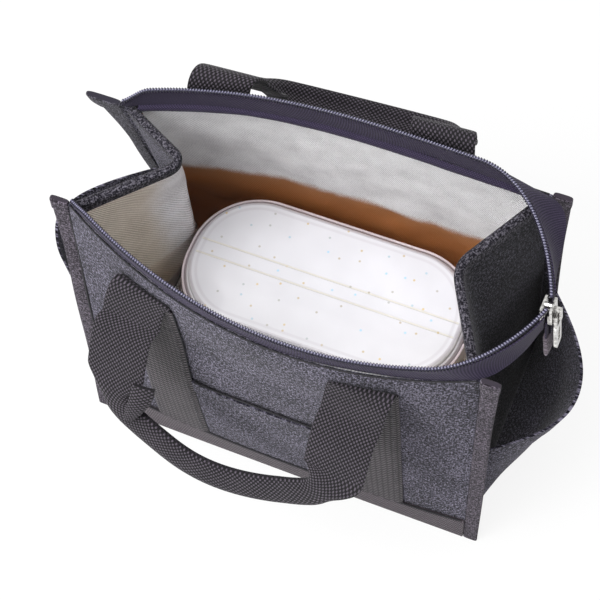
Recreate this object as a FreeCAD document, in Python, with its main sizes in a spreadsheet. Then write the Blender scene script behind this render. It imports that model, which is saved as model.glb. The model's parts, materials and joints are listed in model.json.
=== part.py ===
import FreeCAD, Part
import math
import os
import Sketcher
from FreeCAD import Placement, Rotation, Vector

# A soft insulated lunch carrier with a zipped mouth, standing open, and the
# two-tier lunch box that it carries. Millimetres, +Z up, +X along the carrier,
# +Y to its back. The origin is the middle of the base, on the surface below.

SIZES = {
    # carrier: overall body
    "bag_length": 218.0,
    "bag_depth": 126.0,
    "bag_height": 188.0,
    "cloth": 1.2,
    "lining": 2.2,
    "seam_gap": 0.2,
    # top edges, as distances from the middle at four evenly spaced control points
    "front_lip_left": 29.9,
    "front_lip_inner_left": 66.8,
    "front_lip_inner_right": 76.1,
    "front_lip_right": 47.3,
    "back_lip_left": 30.9,
    "back_lip_inner_left": 66.0,
    "back_lip_inner_right": 55.5,
    "back_lip_right": 54.5,
    # folded end gussets
    "left_fold_reach": 41.0,
    "left_fold_back": 11.0,
    "right_fold_reach": 28.5,
    "right_fold_back": 4.0,
    "fold_round": 3.0,
    "gusset_drop": 1.0,
    "edge_binding": 0.8,
    "edge_binding_height": 9.0,
    "edge_binding_start": 7.0,
    # bound corner seams and the base
    "fin_width": 8.0,
    "fin_thick": 2.6,
    "band_height": 22.0,
    "band_thick": 1.6,
    "board_thick": 2.5,
    "board_corner": 8.0,
    "board_clear": 1.5,
    # pockets
    "pocket_cloth": 1.0,
    "front_pocket_top": 96.0,
    "side_pocket_foot": 6.0,
    "side_pocket_rim": 105.0,
    "side_pocket_front_pull": 55.0,
    "side_pocket_back_pull": 45.0,
    "side_pocket_front_pole": 12.0,
    "side_pocket_back_pole": 8.0,
    # webbing straps and carrying handles
    "strap_width": 32.0,
    "strap_thick": 1.8,
    "strap_spread": 116.6,
    "back_strap_shift": 6.0,
    "strap_top": 172.0,
    "stub_rise": 23.0,
    "stub_lean": 10.0,
    "roll_radius": 1.6,
    "leg_length": 45.0,
    "leg_taper": 12.0,
    "grip_width": 16.0,
    "grip_corner": 26.0,
    "grip_turn": 60.0,
    "front_handle_dip": 60.0,
    "back_handle_dip": 58.0,
    # zip
    "tape_height": 12.0,
    "tape_thick": 0.8,
    "tape_start": 9.0,
    "front_tape_leaves": 86.0,
    "back_tape_leaves": 72.0,
    "tape_lean": 0.35,
    "chain_spine": 1.4,
    "chain_height": 2.4,
    "tooth_pitch": 2.6,
    "tooth_width": 0.8,
    "tooth_reach": 1.5,
    "slider_past_end": 17.5,
    "slider_forward": 6.0,
    "slider_out_lean": 0.134,
    "slider_front_lean": 0.175,
    "slider_length": 10.0,
    "slider_width": 8.6,
    "slider_plate": 1.2,
    "slider_channel": 3.2,
    "slider_flange": 0.9,
    "bail_width": 2.0,
    "bail_rod": 1.0,
    "bail_room": 2.4,
    "bail_upper": 3.0,
    "bail_lower": 4.0,
    "pull_axis_drop": 1.6,
    "pull_rod": 0.85,
    "pull_width": 7.6,
    "pull_corner": 2.2,
    "pull_thick": 1.4,
    "pull_arm": 1.2,
    "pull_arm_length": 6.6,
    "pull_plate_length": 16.0,
    "pull_slot": 3.0,
    "tail_width": 11.0,
    "tail_length": 10.0,
    "end_tab_width": 13.0,
    "end_tab_length": 13.0,
    "end_tab_thick": 3.2,
    "end_tab_round": 1.2,
    # two-tier lunch box
    "lunch_left_room": 36.0,
    "lunch_right_room": 26.0,
    "lunch_width": 79.0,
    "lunch_corner": 36.0,
    "lunch_back": 7.5,
    "tray_wall": 1.8,
    "tray_floor": 2.0,
    "tray_round": 5.0,
    "lower_tray_height": 45.4,
    "upper_tray_height": 43.0,
    "seal_thick": 1.6,
    "seal_plug": 3.0,
    "seal_clear": 0.4,
    "stack_gap": 0.3,
    "channel_width": 10.0,
    "channel_depth": 4.5,
    "channel_wall": 1.4,
    "channel_margin": 2.0,
    "stick_butt": 2.5,
    "stick_tip": 1.2,
    "stick_clear": 0.3,
    "lid_wall": 1.6,
    "lid_clear": 0.4,
    "lid_skirt": 9.0,
    "lid_crown": 4.0,
    "lid_step": 2.6,
    "lid_round": 2.2,
}

doc = FreeCAD.newDocument("lunch_carrier")
sizes = doc.addObject("Spreadsheet::Sheet", "sizes")
for row, (alias, value) in enumerate(SIZES.items(), start=1):
    sizes.set(f"A{row}", alias)
    sizes.set(f"B{row}", str(value))
    sizes.setAlias(f"B{row}", alias)
doc.recompute()

nodes = []


def size(alias):
    """Value of one driving dimension, in millimetres or degrees."""
    return float(sizes.get(alias))


def amount(formula):
    """Value of a formula over the sheet's cells."""
    result = sizes.evalExpression(formula)
    return float(getattr(result, "Value", result))


def keep(label, feature):
    """Names a finished sub-part."""
    feature.Label = label
    nodes.append(feature)
    return feature


def soft(label, shape):
    """A sewn sub-part whose shape is a loft worked out from the sheet."""
    feature = doc.addObject("Part::Feature", label)
    feature.Shape = shape
    return keep(label, feature)


HALF_LENGTH = size("bag_length") / 2
HALF_DEPTH = size("bag_depth") / 2
HEIGHT = size("bag_height")
CLOTH = size("cloth")
LINING = size("lining")
GAP = size("seam_gap")
LAYERS = CLOTH + GAP + LINING
SAME_LEVEL = 1e-4
LEAST_CUT = 1.0
FRONT, BACK = -1, 1
LEFT, RIGHT = -1, 1
CORNERS = ("left", "inner_left", "inner_right", "right")
LIPS = {
    FRONT: [-size("front_lip_" + name) for name in CORNERS],
    BACK: [size("back_lip_" + name) for name in CORNERS],
}


def blend(start, end, share):
    """Point or number a share of the way from start to end."""
    return start + (end - start) * share


def share_along(x):
    """Share of the carrier's length at x."""
    return (x + HALF_LENGTH) / (2 * HALF_LENGTH)


# Front and back panels are ruled: straight at the base, a cubic curve at the top


def panel_poles(side, z, inset):
    """Four control points of a panel's plan curve at height z, moved inwards by inset."""
    poles = []
    for index, lip in enumerate(LIPS[side]):
        x = blend(-HALF_LENGTH, HALF_LENGTH, index / 3)
        y = blend(side * HALF_DEPTH, lip, z / HEIGHT) - side * inset
        poles.append(Vector(x, y, z))
    return poles


def panel_face(side, x, z):
    """Y of a panel's outer face."""
    curve = Part.BezierCurve()
    curve.setPoles(panel_poles(side, z, 0))
    return curve.value(share_along(x)).y


def arc_of(poles, start=0.0, end=1.0):
    """Edge of the cubic curve with these control points, between two shares of it."""
    curve = Part.BezierCurve()
    curve.setPoles(poles)
    return curve.toShape(start, end)


def ring(outer, inner):
    """Closed wire through two edges or chains of edges that run the same way."""
    first = Part.Wire(outer)
    second = Part.Wire(inner)
    ends = [Part.makeLine(first.OrderedVertexes[-1].Point, second.OrderedVertexes[-1].Point),
            Part.makeLine(second.OrderedVertexes[0].Point, first.OrderedVertexes[0].Point)]
    return Part.Wire(Part.__sortEdges__(first.Edges + second.Edges + ends))


def wall_section(side, z, x_start, x_end, near, far):
    """Plan section of a layer on a panel, between two insets and two places along it."""
    start, end = share_along(x_start), share_along(x_end)
    return ring([arc_of(panel_poles(side, z, near), start, end)],
                [arc_of(panel_poles(side, z, far), start, end)])


def wall(side, x_start, x_end, near, far, z_start, z_end):
    """Layer of cloth on a panel, ruled from its lower to its upper section."""
    sections = [wall_section(side, z, x_start, x_end, near, far) for z in (z_start, z_end)]
    return Part.makeLoft(sections, True, True)


# End gussets are folded inwards at the middle, more so towards the mouth


def gusset_line(end, z):
    """Front corner, fold and back corner of a gusset's outer face at height z."""
    name = "left" if end == LEFT else "right"
    share = z / HEIGHT
    x = end * HALF_LENGTH
    fold = Vector(end * (HALF_LENGTH - size(name + "_fold_reach") * share),
                  size(name + "_fold_back") * share, z)
    return Vector(x, panel_face(FRONT, x, z), z), fold, Vector(x, panel_face(BACK, x, z), z)


def gusset_chain(end, z, inset, stop):
    """Gusset line moved inwards, cut off at stop from both panels, with a blunt fold."""
    front, fold, back = gusset_line(end, z)
    forward = (fold - front).normalize()
    onward = (back - fold).normalize()
    inward = [Vector(-end * way.y, end * way.x, 0) for way in (forward, onward)]
    first = front + inward[0] * inset
    last = back + inward[1] * inset
    round_off = size("fold_round")
    return [first + forward * ((front.y + stop - first.y) / forward.y),
            fold + inward[0] * inset - forward * round_off,
            fold + inward[1] * inset + onward * round_off,
            last - onward * ((last.y - back.y + stop) / onward.y)]


def gusset_layer(end, near, far, stop, z_start, z_end):
    """Layer of a gusset between two insets, ruled from its lower to its upper section."""
    sections = []
    for z in (z_start, z_end):
        outline = gusset_chain(end, z, near, stop) + gusset_chain(end, z, far, stop)[::-1]
        sections.append(Part.makePolygon(outline + outline[:1]))
    return Part.makeLoft(sections, True, True)


def lining_end(end):
    """X at which a panel's lining ends, clear of the folded gusset at the top corner."""
    reach = 0
    for side in (FRONT, BACK):
        for z in (0, HEIGHT):
            chain = gusset_chain(end, z, CLOTH + GAP, LAYERS)
            corner = chain[0] if side == FRONT else chain[-1]
            reach = max(reach, HALF_LENGTH - abs(corner.x))
    return end * (HALF_LENGTH - reach - GAP)


GUSSET_TOP = HEIGHT - size("gusset_drop")
BASE_CLOTH_TOP = CLOTH
BOARD_BOTTOM = BASE_CLOTH_TOP + GAP
BOARD_TOP = BOARD_BOTTOM + size("board_thick")
LINING_BOTTOM = BOARD_TOP + GAP
LINING_TOP = LINING_BOTTOM + LINING


def make_shell():
    """Outer cloth and insulated lining of the four walls."""
    lining_ends = lining_end(LEFT), lining_end(RIGHT)
    for side, name in ((FRONT, "front"), (BACK, "back")):
        soft(name + "_panel", wall(side, -HALF_LENGTH, HALF_LENGTH, 0, CLOTH, 0, HEIGHT))
        soft(name + "_lining",
             wall(side, *lining_ends, CLOTH + GAP, LAYERS, LINING_BOTTOM, GUSSET_TOP))
    for end, name in ((LEFT, "left"), (RIGHT, "right")):
        soft(name + "_gusset", gusset_layer(end, 0, CLOTH, CLOTH + GAP, 0, GUSSET_TOP))
        soft(name + "_gusset_lining",
             gusset_layer(end, CLOTH + GAP, LAYERS, LAYERS + GAP, LINING_BOTTOM, GUSSET_TOP))


def make_edge_bindings():
    """Folded strip that wraps the top edge of each gusset, cloth and lining together."""
    bottom = GUSSET_TOP - size("edge_binding_height")
    top = GUSSET_TOP + size("edge_binding")
    slack = 2 * GAP
    reach = slack + size("edge_binding")
    start = size("edge_binding_start")
    for end, name in ((LEFT, "left"), (RIGHT, "right")):
        strip = gusset_layer(end, -reach, LAYERS + reach, start, bottom, top)
        core = gusset_layer(end, -slack, LAYERS + slack, start - LAYERS, bottom - CLOTH,
                            GUSSET_TOP + slack)
        soft(name + "_gusset_binding", strip.cut(core))


def make_corner_seams():
    """Bound seam that stands out at each upright corner, in the plane of its panel."""
    spread = (size("fin_thick") - CLOTH) / 2
    for side, depth_name in ((FRONT, "front"), (BACK, "back")):
        for end, name in ((LEFT, "left"), (RIGHT, "right")):
            sections = []
            for z in (0, HEIGHT):
                face = panel_face(side, end * HALF_LENGTH, z)
                x_near = end * (HALF_LENGTH + GAP)
                x_far = end * (HALF_LENGTH + size("fin_width"))
                y_out = face + side * spread
                y_in = face - side * (CLOTH + spread)
                outline = [Vector(x_near, y_out, z), Vector(x_far, y_out, z),
                           Vector(x_far, y_in, z), Vector(x_near, y_in, z)]
                sections.append(Part.makePolygon(outline + outline[:1]))
            soft(f"{depth_name}_{name}_corner_seam", Part.makeLoft(sections, True, True))


def make_base_bands():
    """Wide woven band sewn along the foot of the front and back panels."""
    near = -GAP - size("band_thick")
    for side, name in ((FRONT, "front"), (BACK, "back")):
        soft(name + "_base_band",
             wall(side, -HALF_LENGTH, HALF_LENGTH, near, -GAP, 0, size("band_height")))


STRAP_HALF = size("strap_width") / 2
STRAP_CENTRE = size("strap_spread") / 2
STRAP_INNER = STRAP_CENTRE - STRAP_HALF
STRAP_FOOT = size("band_height") + GAP
STRAP_NEAR = -GAP - size("strap_thick")
STRAP_SHIFT = {FRONT: 0, BACK: -size("back_strap_shift")}


def make_pockets():
    """Flat pocket between the front straps and a bellied pocket on each end."""
    pocket_edge = STRAP_INNER - GAP
    soft("front_pocket",
         wall(FRONT, -pocket_edge, pocket_edge, -GAP - size("pocket_cloth"), -GAP,
              STRAP_FOOT, size("front_pocket_top")))
    for end, name in ((LEFT, "left"), (RIGHT, "right")):
        sections = [side_pocket_section(end, size("side_pocket_foot"), 0),
                    side_pocket_section(end, size("side_pocket_rim"), 1)]
        soft(name + "_pocket", Part.makeLoft(sections, True, True))


def side_pocket_section(end, z, belly):
    """Plan section of an end pocket: straight where belly is 0, full where it is 1."""
    corner = end * HALF_LENGTH
    margin = size("fin_thick") + GAP
    front = panel_face(FRONT, corner, z) + margin
    back = panel_face(BACK, corner, z) - margin
    edges = []
    for layer in (GAP, GAP + size("pocket_cloth")):
        x = corner + end * layer
        straight = [Vector(x, blend(front, back, share), z) for share in (0, 1 / 3, 2 / 3, 1)]
        full = [straight[0],
                Vector(x + end * size("side_pocket_front_pull"), -size("side_pocket_front_pole"), z),
                Vector(x + end * size("side_pocket_back_pull"), size("side_pocket_back_pole"), z),
                straight[3]]
        edges.append(arc_of([blend(p, q, belly) for p, q in zip(straight, full)]))
    return ring(edges[:1], edges[1:])


# Carrying handles: sewn straps, and a webbing loop that swings about a line across both


def hinge_line(side):
    """Y of a handle's swing line as a function of x, and its height."""
    if side == FRONT:
        z = size("strap_top") + GAP + size("roll_radius")
        stand = GAP + size("strap_thick") + size("roll_radius") / 2
        level = z
    else:
        z = size("strap_top") + size("stub_rise")
        stand = size("stub_lean")
        level = HEIGHT
    ends = [panel_face(side, x, level) + side * stand for x in (-STRAP_INNER, STRAP_INNER)]
    slope = (ends[1] - ends[0]) / (2 * STRAP_INNER)
    return lambda x: (ends[0] + ends[1]) / 2 + slope * x, z


def strap_section(side, z, x_start, x_end):
    """Plan section of a strap that lies on its panel."""
    return wall_section(side, z, x_start, x_end, STRAP_NEAR, -GAP)


def stub_section(x_start, x_end):
    """Plan section of a back strap where it ends, just under the loop that it carries."""
    line, z = hinge_line(BACK)
    edges = []
    for layer in (-GAP, STRAP_NEAR):
        poles = []
        for share in (0, 1 / 3, 2 / 3, 1):
            x = blend(x_start, x_end, share)
            poles.append(Vector(x, line(x) + layer, z - size("roll_radius") - GAP))
        edges.append(arc_of(poles))
    return ring(edges[:1], edges[1:])


def make_straps():
    """Straps sewn up each panel; the back ones stand on past the panel's edge."""
    for end, name in ((LEFT, "left"), (RIGHT, "right")):
        for side, depth_name in ((FRONT, "front"), (BACK, "back")):
            centre = STRAP_SHIFT[side] + end * STRAP_CENTRE
            x_start, x_end = centre - STRAP_HALF, centre + STRAP_HALF
            sections = [strap_section(side, z, x_start, x_end)
                        for z in (STRAP_FOOT, size("strap_top"))]
            if side == BACK:
                sections.append(stub_section(x_start, x_end))
            soft(f"{depth_name}_{name}_strap", Part.makeLoft(sections, True, True))


def plane(body, role):
    """One of a body's own origin planes."""
    return next(item for item in body.Origin.OriginFeatures if item.Role == role)


def sketch_on(body, name, offset="0"):
    """Sketch on a body's horizontal plane, raised by a formula."""
    sketch = body.newObject("Sketcher::SketchObject", name)
    sketch.AttachmentSupport = (plane(body, "XY_Plane"), [""])
    sketch.MapMode = "FlatFace"
    sketch.setExpression("AttachmentOffset.Base.z", offset)
    return sketch


def pad(body, name, sketch, length):
    """Sketch raised into a solid."""
    feature = body.newObject("PartDesign::Pad", name)
    feature.Profile = sketch
    feature.setExpression("Length", length)
    doc.recompute()
    return feature


def pocket(body, name, sketch, length):
    """Sketch cut downwards out of a solid."""
    feature = body.newObject("PartDesign::Pocket", name)
    feature.Profile = sketch
    before = body.Shape.Volume
    feature.setExpression("Length", length)
    doc.recompute()
    if feature.Shape.Volume > before - LEAST_CUT:
        raise RuntimeError(body.Label + ": " + name + " cuts nothing")
    return feature


def fillet(body, name, base, radius, height):
    """Rounds the edges of a feature that lie at one height."""
    level = amount(height)
    edges = [f"Edge{number}" for number, edge in enumerate(base.Shape.Edges, start=1)
             if max(abs(edge.BoundBox.ZMin - level), abs(edge.BoundBox.ZMax - level)) < SAME_LEVEL]
    feature = body.newObject("PartDesign::Fillet", name)
    feature.Base = (base, edges)
    feature.setExpression("Radius", radius)
    doc.recompute()
    return feature


def grip_half(side, half_width):
    """Two arcs of a loop's edge, from the end of a leg to the middle of the grip."""
    corner = size("grip_corner")
    turn = math.radians(size("grip_turn"))
    start = size("leg_length") + size("leg_taper")
    sweep = corner + (STRAP_CENTRE - corner) / math.cos(turn)
    small = Vector(side * (STRAP_CENTRE - corner), start, 0)
    large = Vector(0, start - (sweep - corner) * math.sin(turn), 0)

    def at(centre, radius, angle):
        return centre + Vector(side * math.cos(angle), math.sin(angle), 0) * (radius + half_width)

    joint = at(small, corner, turn)
    quarter = math.pi / 2
    return [Part.Arc(at(small, corner, 0), at(small, corner, turn / 2), joint),
            Part.Arc(joint, at(large, sweep, (turn + quarter) / 2), at(large, sweep, quarter))]


def grip_edge(half_width):
    """Whole curved edge of a grip, from its left to its right leg."""
    left = grip_half(LEFT, half_width)
    right = grip_half(RIGHT, half_width)
    return left + [Part.Arc(right[1].EndPoint, right[1].value(right[1].LastParameter / 2
                            + right[1].FirstParameter / 2), right[1].StartPoint),
                   Part.Arc(right[0].EndPoint, right[0].value(right[0].LastParameter / 2
                            + right[0].FirstParameter / 2), right[0].StartPoint)]


def make_handle(side, name):
    """Webbing loop: two flat legs, narrowed to a grip of folded webbing."""
    body = doc.addObject("PartDesign::Body", name)
    half_grip = size("grip_width") / 2
    leg_end = size("leg_length")
    shoulder = leg_end + size("leg_taper")
    outline = sketch_on(body, name + "_outline", "-sizes.strap_thick / 2")
    for edge in grip_edge(half_grip) + grip_edge(-half_grip):
        outline.addGeometry(edge)
    for end in (LEFT, RIGHT):
        for edge in (-1, 1):
            wide = end * STRAP_CENTRE + edge * STRAP_HALF
            narrow = end * STRAP_CENTRE + edge * half_grip
            outline.addGeometry(Part.LineSegment(Vector(wide, 0, 0), Vector(wide, leg_end, 0)))
            outline.addGeometry(Part.LineSegment(Vector(wide, leg_end, 0), Vector(narrow, shoulder, 0)))
        outline.addGeometry(Part.LineSegment(Vector(end * STRAP_CENTRE - STRAP_HALF, 0, 0),
                                             Vector(end * STRAP_CENTRE + STRAP_HALF, 0, 0)))
    pad(body, name + "_web", outline, "sizes.strap_thick")
    doubled = sketch_on(body, name + "_fold", "-sizes.strap_thick")
    for edge in grip_edge(half_grip) + grip_edge(-half_grip):
        doubled.addGeometry(edge)
    for end in (LEFT, RIGHT):
        doubled.addGeometry(Part.LineSegment(Vector(end * STRAP_CENTRE - half_grip, shoulder, 0),
                                             Vector(end * STRAP_CENTRE + half_grip, shoulder, 0)))
    pad(body, name + "_grip", doubled, "2 * sizes.strap_thick")
    for end, end_name in ((LEFT, "left"), (RIGHT, "right")):
        roll = body.newObject("PartDesign::AdditiveCylinder", f"{name}_{end_name}_roll")
        roll.AttachmentSupport = (plane(body, "YZ_Plane"), [""])
        roll.MapMode = "FlatFace"
        roll.setExpression("Radius", "sizes.roll_radius")
        roll.setExpression("Height", "sizes.strap_width")
        roll.setExpression("AttachmentOffset.Base.z",
                           f"{end} * sizes.strap_spread / 2 - sizes.strap_width / 2")
        doc.recompute()
    line, z = hinge_line(side)
    along = Vector(1, line(1) - line(0), 0).normalize()
    outward = Vector(-side * along.y, side * along.x, 0)
    dip = math.radians(size(name + "_dip"))
    depth = outward * math.cos(dip) - Vector(0, 0, 1) * math.sin(dip)
    turn = Rotation(along, depth, along.cross(depth), "XYZ")
    middle = Vector(STRAP_SHIFT[side], line(STRAP_SHIFT[side]), z)
    body.Placement = Placement(middle, turn)
    print(name, "swing line through", middle, "along", along)
    keep(name, body)


# Zip: a tape on each panel's top edge, leaving it at the right to meet at the slider

TAPE_BOTTOM = HEIGHT + GAP
TAPE_TOP = TAPE_BOTTOM + size("tape_height")
CHAIN_BOTTOM = TAPE_TOP + GAP
SLIDER_X = HALF_LENGTH + size("slider_past_end")
SLIDER_Y = -size("slider_forward")


def zip_edges(side, z, shift, stop):
    """Plan edges of a tape's line moved inwards: along the panel, then free to the slider.

    The free stretch leaves along the panel's own direction and ends stop from
    the slider's middle, heading at it from its own side.
    """
    leaves = size("front_tape_leaves" if side == FRONT else "back_tape_leaves")
    seat = LAYERS / 2 + shift
    lip = panel_poles(side, HEIGHT, seat)
    curve = Part.BezierCurve()
    curve.setPoles([Vector(pole.x, pole.y, z) for pole in lip])
    share = share_along(leaves)
    panel = curve.toShape(share_along(-HALF_LENGTH + size("tape_start")), share)
    start = curve.value(share)
    way = curve.tangent(share)[0]
    end = Vector(SLIDER_X - shift, SLIDER_Y + side * stop, z)
    span = (end - start).Length
    arrive = Vector(size("tape_lean"), -side, 0).normalize()
    free = arc_of([start, start + way * (span / 3), end - arrive * (span / 3), end])
    return [panel, free]


def make_tapes():
    """Woven tape of each half of the zip."""
    stop = size("tail_width") / 2 + 2 * GAP + size("tape_thick")
    for side, name in ((FRONT, "front"), (BACK, "back")):
        half = size("tape_thick") / 2
        outline = ring(zip_edges(side, TAPE_BOTTOM, -half, stop),
                       zip_edges(side, TAPE_BOTTOM, half, stop))
        soft(name + "_zip_tape",
             Part.Face(outline).extrude(Vector(0, 0, size("tape_height"))))


def make_chains():
    """Row of teeth along the top of each tape, all on one spine."""
    half_spine = size("chain_spine") / 2
    half_tooth = size("tooth_width") / 2
    reach = half_spine + size("tooth_reach")
    stop = reach + GAP
    for side, name in ((FRONT, "front"), (BACK, "back")):
        line = Part.Wire(zip_edges(side, CHAIN_BOTTOM, 0, stop))
        count = int(line.Length / size("tooth_pitch"))
        stations = line.discretize(Number=count)
        outer, toothed = [], []
        for before, station, after in zip(stations, stations[1:-1], stations[2:]):
            way = (after - before).normalize()
            inward = Vector(side * way.y, -side * way.x, 0)
            outer.append(station - inward * half_spine)
            for along, out in ((-half_tooth, half_spine), (-half_tooth, reach),
                               (half_tooth, reach), (half_tooth, half_spine)):
                toothed.append(station + way * along + inward * out)
        outline = outer + toothed[::-1]
        comb = Part.Face(Part.makePolygon(outline + outline[:1]))
        soft(name + "_zip_teeth", comb.extrude(Vector(0, 0, size("chain_height"))))


def box(name, x, y, z):
    """Block between three pairs of formulas."""
    feature = doc.addObject("Part::Box", name)
    for length, axis, (low, high) in (("Length", "x", x), ("Width", "y", y), ("Height", "z", z)):
        feature.setExpression(length, f"({high}) - ({low})")
        feature.setExpression("Placement.Base." + axis, low)
    return feature


def joined(name, pieces):
    """Pieces of one casting, joined."""
    feature = doc.addObject("Part::MultiFuse", name)
    feature.Shapes = pieces
    feature.Refine = True
    return feature


SLIDER_DOWN = Vector(size("slider_out_lean"), -size("slider_front_lean"), -1).normalize()
SLIDER_FACE = (Vector(1, 0, 0) - SLIDER_DOWN * SLIDER_DOWN.x).normalize()
SLIDER_TURN = Rotation(SLIDER_DOWN.cross(SLIDER_FACE), SLIDER_DOWN, SLIDER_FACE, "XYZ")
SLIDER_Z = (CHAIN_BOTTOM - GAP - size("slider_length") / 2 * abs(SLIDER_DOWN.z)
            - (size("slider_channel") / 2 + size("slider_plate")) * SLIDER_FACE.z
            - size("slider_width") / 2 * abs(SLIDER_DOWN.cross(SLIDER_FACE).z))
SLIDER_PLACE = Placement(Vector(SLIDER_X, SLIDER_Y, SLIDER_Z), SLIDER_TURN)

# In the slider's own frame X runs across the zip, Y down its tail and Z out of its face
PLATE_INNER = "sizes.slider_channel / 2"
PLATE_OUTER = "sizes.slider_channel / 2 + sizes.slider_plate"
SIDE = "sizes.slider_width / 2"
ENDS = "sizes.slider_length / 2"
BAIL_TOP = f"{PLATE_OUTER} + sizes.bail_room"
PULL_AXIS_Y = "sizes.pull_axis_drop"
PULL_AXIS_Z = f"{PLATE_OUTER} + sizes.bail_room / 2"


def make_slider():
    """Two plates on a wedge, with flanges that hold the chain and a bail for the pull."""
    pieces = []
    for index, sign in enumerate((-1, 1)):
        faces = sorted((f"{sign} * ({PLATE_INNER})", f"{sign} * ({PLATE_OUTER})"), key=amount)
        pieces.append(box(f"slider_plate_{index}", (f"-{SIDE}", SIDE), (f"-{ENDS}", ENDS), faces))
        lips = sorted((f"{sign} * ({PLATE_INNER} - sizes.slider_flange)",
                       f"{sign} * ({PLATE_INNER})"), key=amount)
        for hand in (-1, 1):
            edge = sorted((f"{hand} * {SIDE}", f"{hand} * ({SIDE} - sizes.slider_flange)"), key=amount)
            pieces.append(box(f"slider_flange_{index}_{hand + 1}", edge, ("0", ENDS), lips))
    wedge = doc.addObject("Part::Cylinder", "slider_wedge")
    wedge.setExpression("Radius", "sizes.slider_channel / 2")
    wedge.setExpression("Height", "sizes.slider_channel")
    wedge.setExpression("Placement.Base.y", f"sizes.slider_channel / 2 - {ENDS}")
    wedge.setExpression("Placement.Base.z", f"-{PLATE_INNER}")
    pieces.append(wedge)
    bail = ("-sizes.bail_width / 2", "sizes.bail_width / 2")
    upper, lower = "-sizes.bail_upper", "sizes.bail_lower"
    pieces.append(box("bail_bridge", bail, (upper, lower), (BAIL_TOP, f"{BAIL_TOP} + sizes.bail_rod")))
    pieces.append(box("bail_upper_foot", bail, (upper, f"{upper} + sizes.bail_rod"),
                      (PLATE_OUTER, BAIL_TOP)))
    pieces.append(box("bail_lower_foot", bail, (f"{lower} - sizes.bail_rod", lower),
                      (PLATE_OUTER, BAIL_TOP)))
    slider = joined("zip_slider", pieces)
    doc.recompute()
    slider.Placement = SLIDER_PLACE
    keep("zip_slider", slider)


def make_pull():
    """Slotted tab on a rod that turns in the slider's bail."""
    half = "sizes.pull_width / 2"
    arm_in, arm_out = "sizes.bail_width", "sizes.bail_width + sizes.pull_arm"
    arm_end = f"{PULL_AXIS_Y} + sizes.pull_arm_length"
    plate_end = f"{arm_end} + sizes.pull_plate_length"
    faces = (f"{PULL_AXIS_Z} - sizes.pull_thick / 2", f"{PULL_AXIS_Z} + sizes.pull_thick / 2")
    rod = doc.addObject("Part::Cylinder", "pull_rod")
    rod.setExpression("Radius", "sizes.pull_rod")
    rod.setExpression("Height", f"2 * ({arm_out})")
    rod.Placement = Placement(Vector(), Rotation(Vector(0, 1, 0), 90))
    rod.setExpression("Placement.Base.x", f"-({arm_out})")
    rod.setExpression("Placement.Base.y", PULL_AXIS_Y)
    rod.setExpression("Placement.Base.z", PULL_AXIS_Z)
    plate = box("pull_plate", (f"-{half}", half), (arm_end, plate_end), faces)
    slot_half = "sizes.pull_slot / 2"
    slot = box("pull_slot", (f"-{slot_half}", slot_half),
               (f"{arm_end} + sizes.pull_width / 2", f"{plate_end} - sizes.pull_width / 2"),
               (f"{faces[0]} - sizes.pull_thick", f"{faces[1]} + sizes.pull_thick"))
    doc.recompute()
    corners = [number for number, edge in enumerate(plate.Shape.Edges, start=1)
               if edge.BoundBox.ZLength > edge.BoundBox.XLength + edge.BoundBox.YLength]
    rounded = doc.addObject("Part::Fillet", "pull_rounded")
    rounded.Base = plate
    rounded.Edges = [(number, size("pull_corner"), size("pull_corner")) for number in corners]
    slotted = doc.addObject("Part::Cut", "pull_slotted")
    slotted.Base = rounded
    slotted.Tool = slot
    overlap = f"{arm_end} + sizes.pull_thick"
    arms = [box("pull_left_arm", (f"-({arm_out})", f"-({arm_in})"), (PULL_AXIS_Y, overlap), faces),
            box("pull_right_arm", (arm_in, arm_out), (PULL_AXIS_Y, overlap), faces)]
    pull = joined("zip_pull", [rod, slotted] + arms)
    doc.recompute()
    pull.Placement = SLIDER_PLACE
    axis = Vector(0, amount(PULL_AXIS_Y), amount(PULL_AXIS_Z))
    print("zip_pull turns at", SLIDER_PLACE.multVec(axis), "about", SLIDER_TURN.multVec(Vector(1, 0, 0)))
    keep("zip_pull", pull)


def make_tail():
    """Closed end of the zip below the slider, and the folded cloth tab sewn over it."""
    start = f"{ENDS} + sizes.seam_gap"
    finish = f"{start} + sizes.tail_length"
    tape = box("tail_tape", ("-sizes.tail_width / 2", "sizes.tail_width / 2"), (start, finish),
               ("-sizes.tape_thick / 2", "sizes.tape_thick / 2"))
    chain = box("tail_chain", ("-sizes.tooth_reach", "sizes.tooth_reach"), (start, finish),
                ("-sizes.chain_height / 2", "sizes.chain_height / 2"))
    tail = joined("zip_tail", [tape, chain])
    tab_start = f"{finish} + sizes.seam_gap"
    tab = box("zip_tab_blank", ("-sizes.end_tab_width / 2", "sizes.end_tab_width / 2"),
              (tab_start, f"{tab_start} + sizes.end_tab_length"),
              ("-sizes.end_tab_thick / 2", "sizes.end_tab_thick / 2"))
    doc.recompute()
    long_edges = [number for number, edge in enumerate(tab.Shape.Edges, start=1)
                  if edge.BoundBox.YLength > edge.BoundBox.XLength + edge.BoundBox.ZLength]
    rounded = doc.addObject("Part::Fillet", "zip_end_tab")
    rounded.Base = tab
    rounded.Edges = [(number, size("end_tab_round"), size("end_tab_round")) for number in long_edges]
    doc.recompute()
    for label, feature in (("zip_tail", tail), ("zip_end_tab", rounded)):
        feature.Placement = SLIDER_PLACE
        keep(label, feature)


# Rounded rectangles: the base layers and every piece of the lunch box


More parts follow.
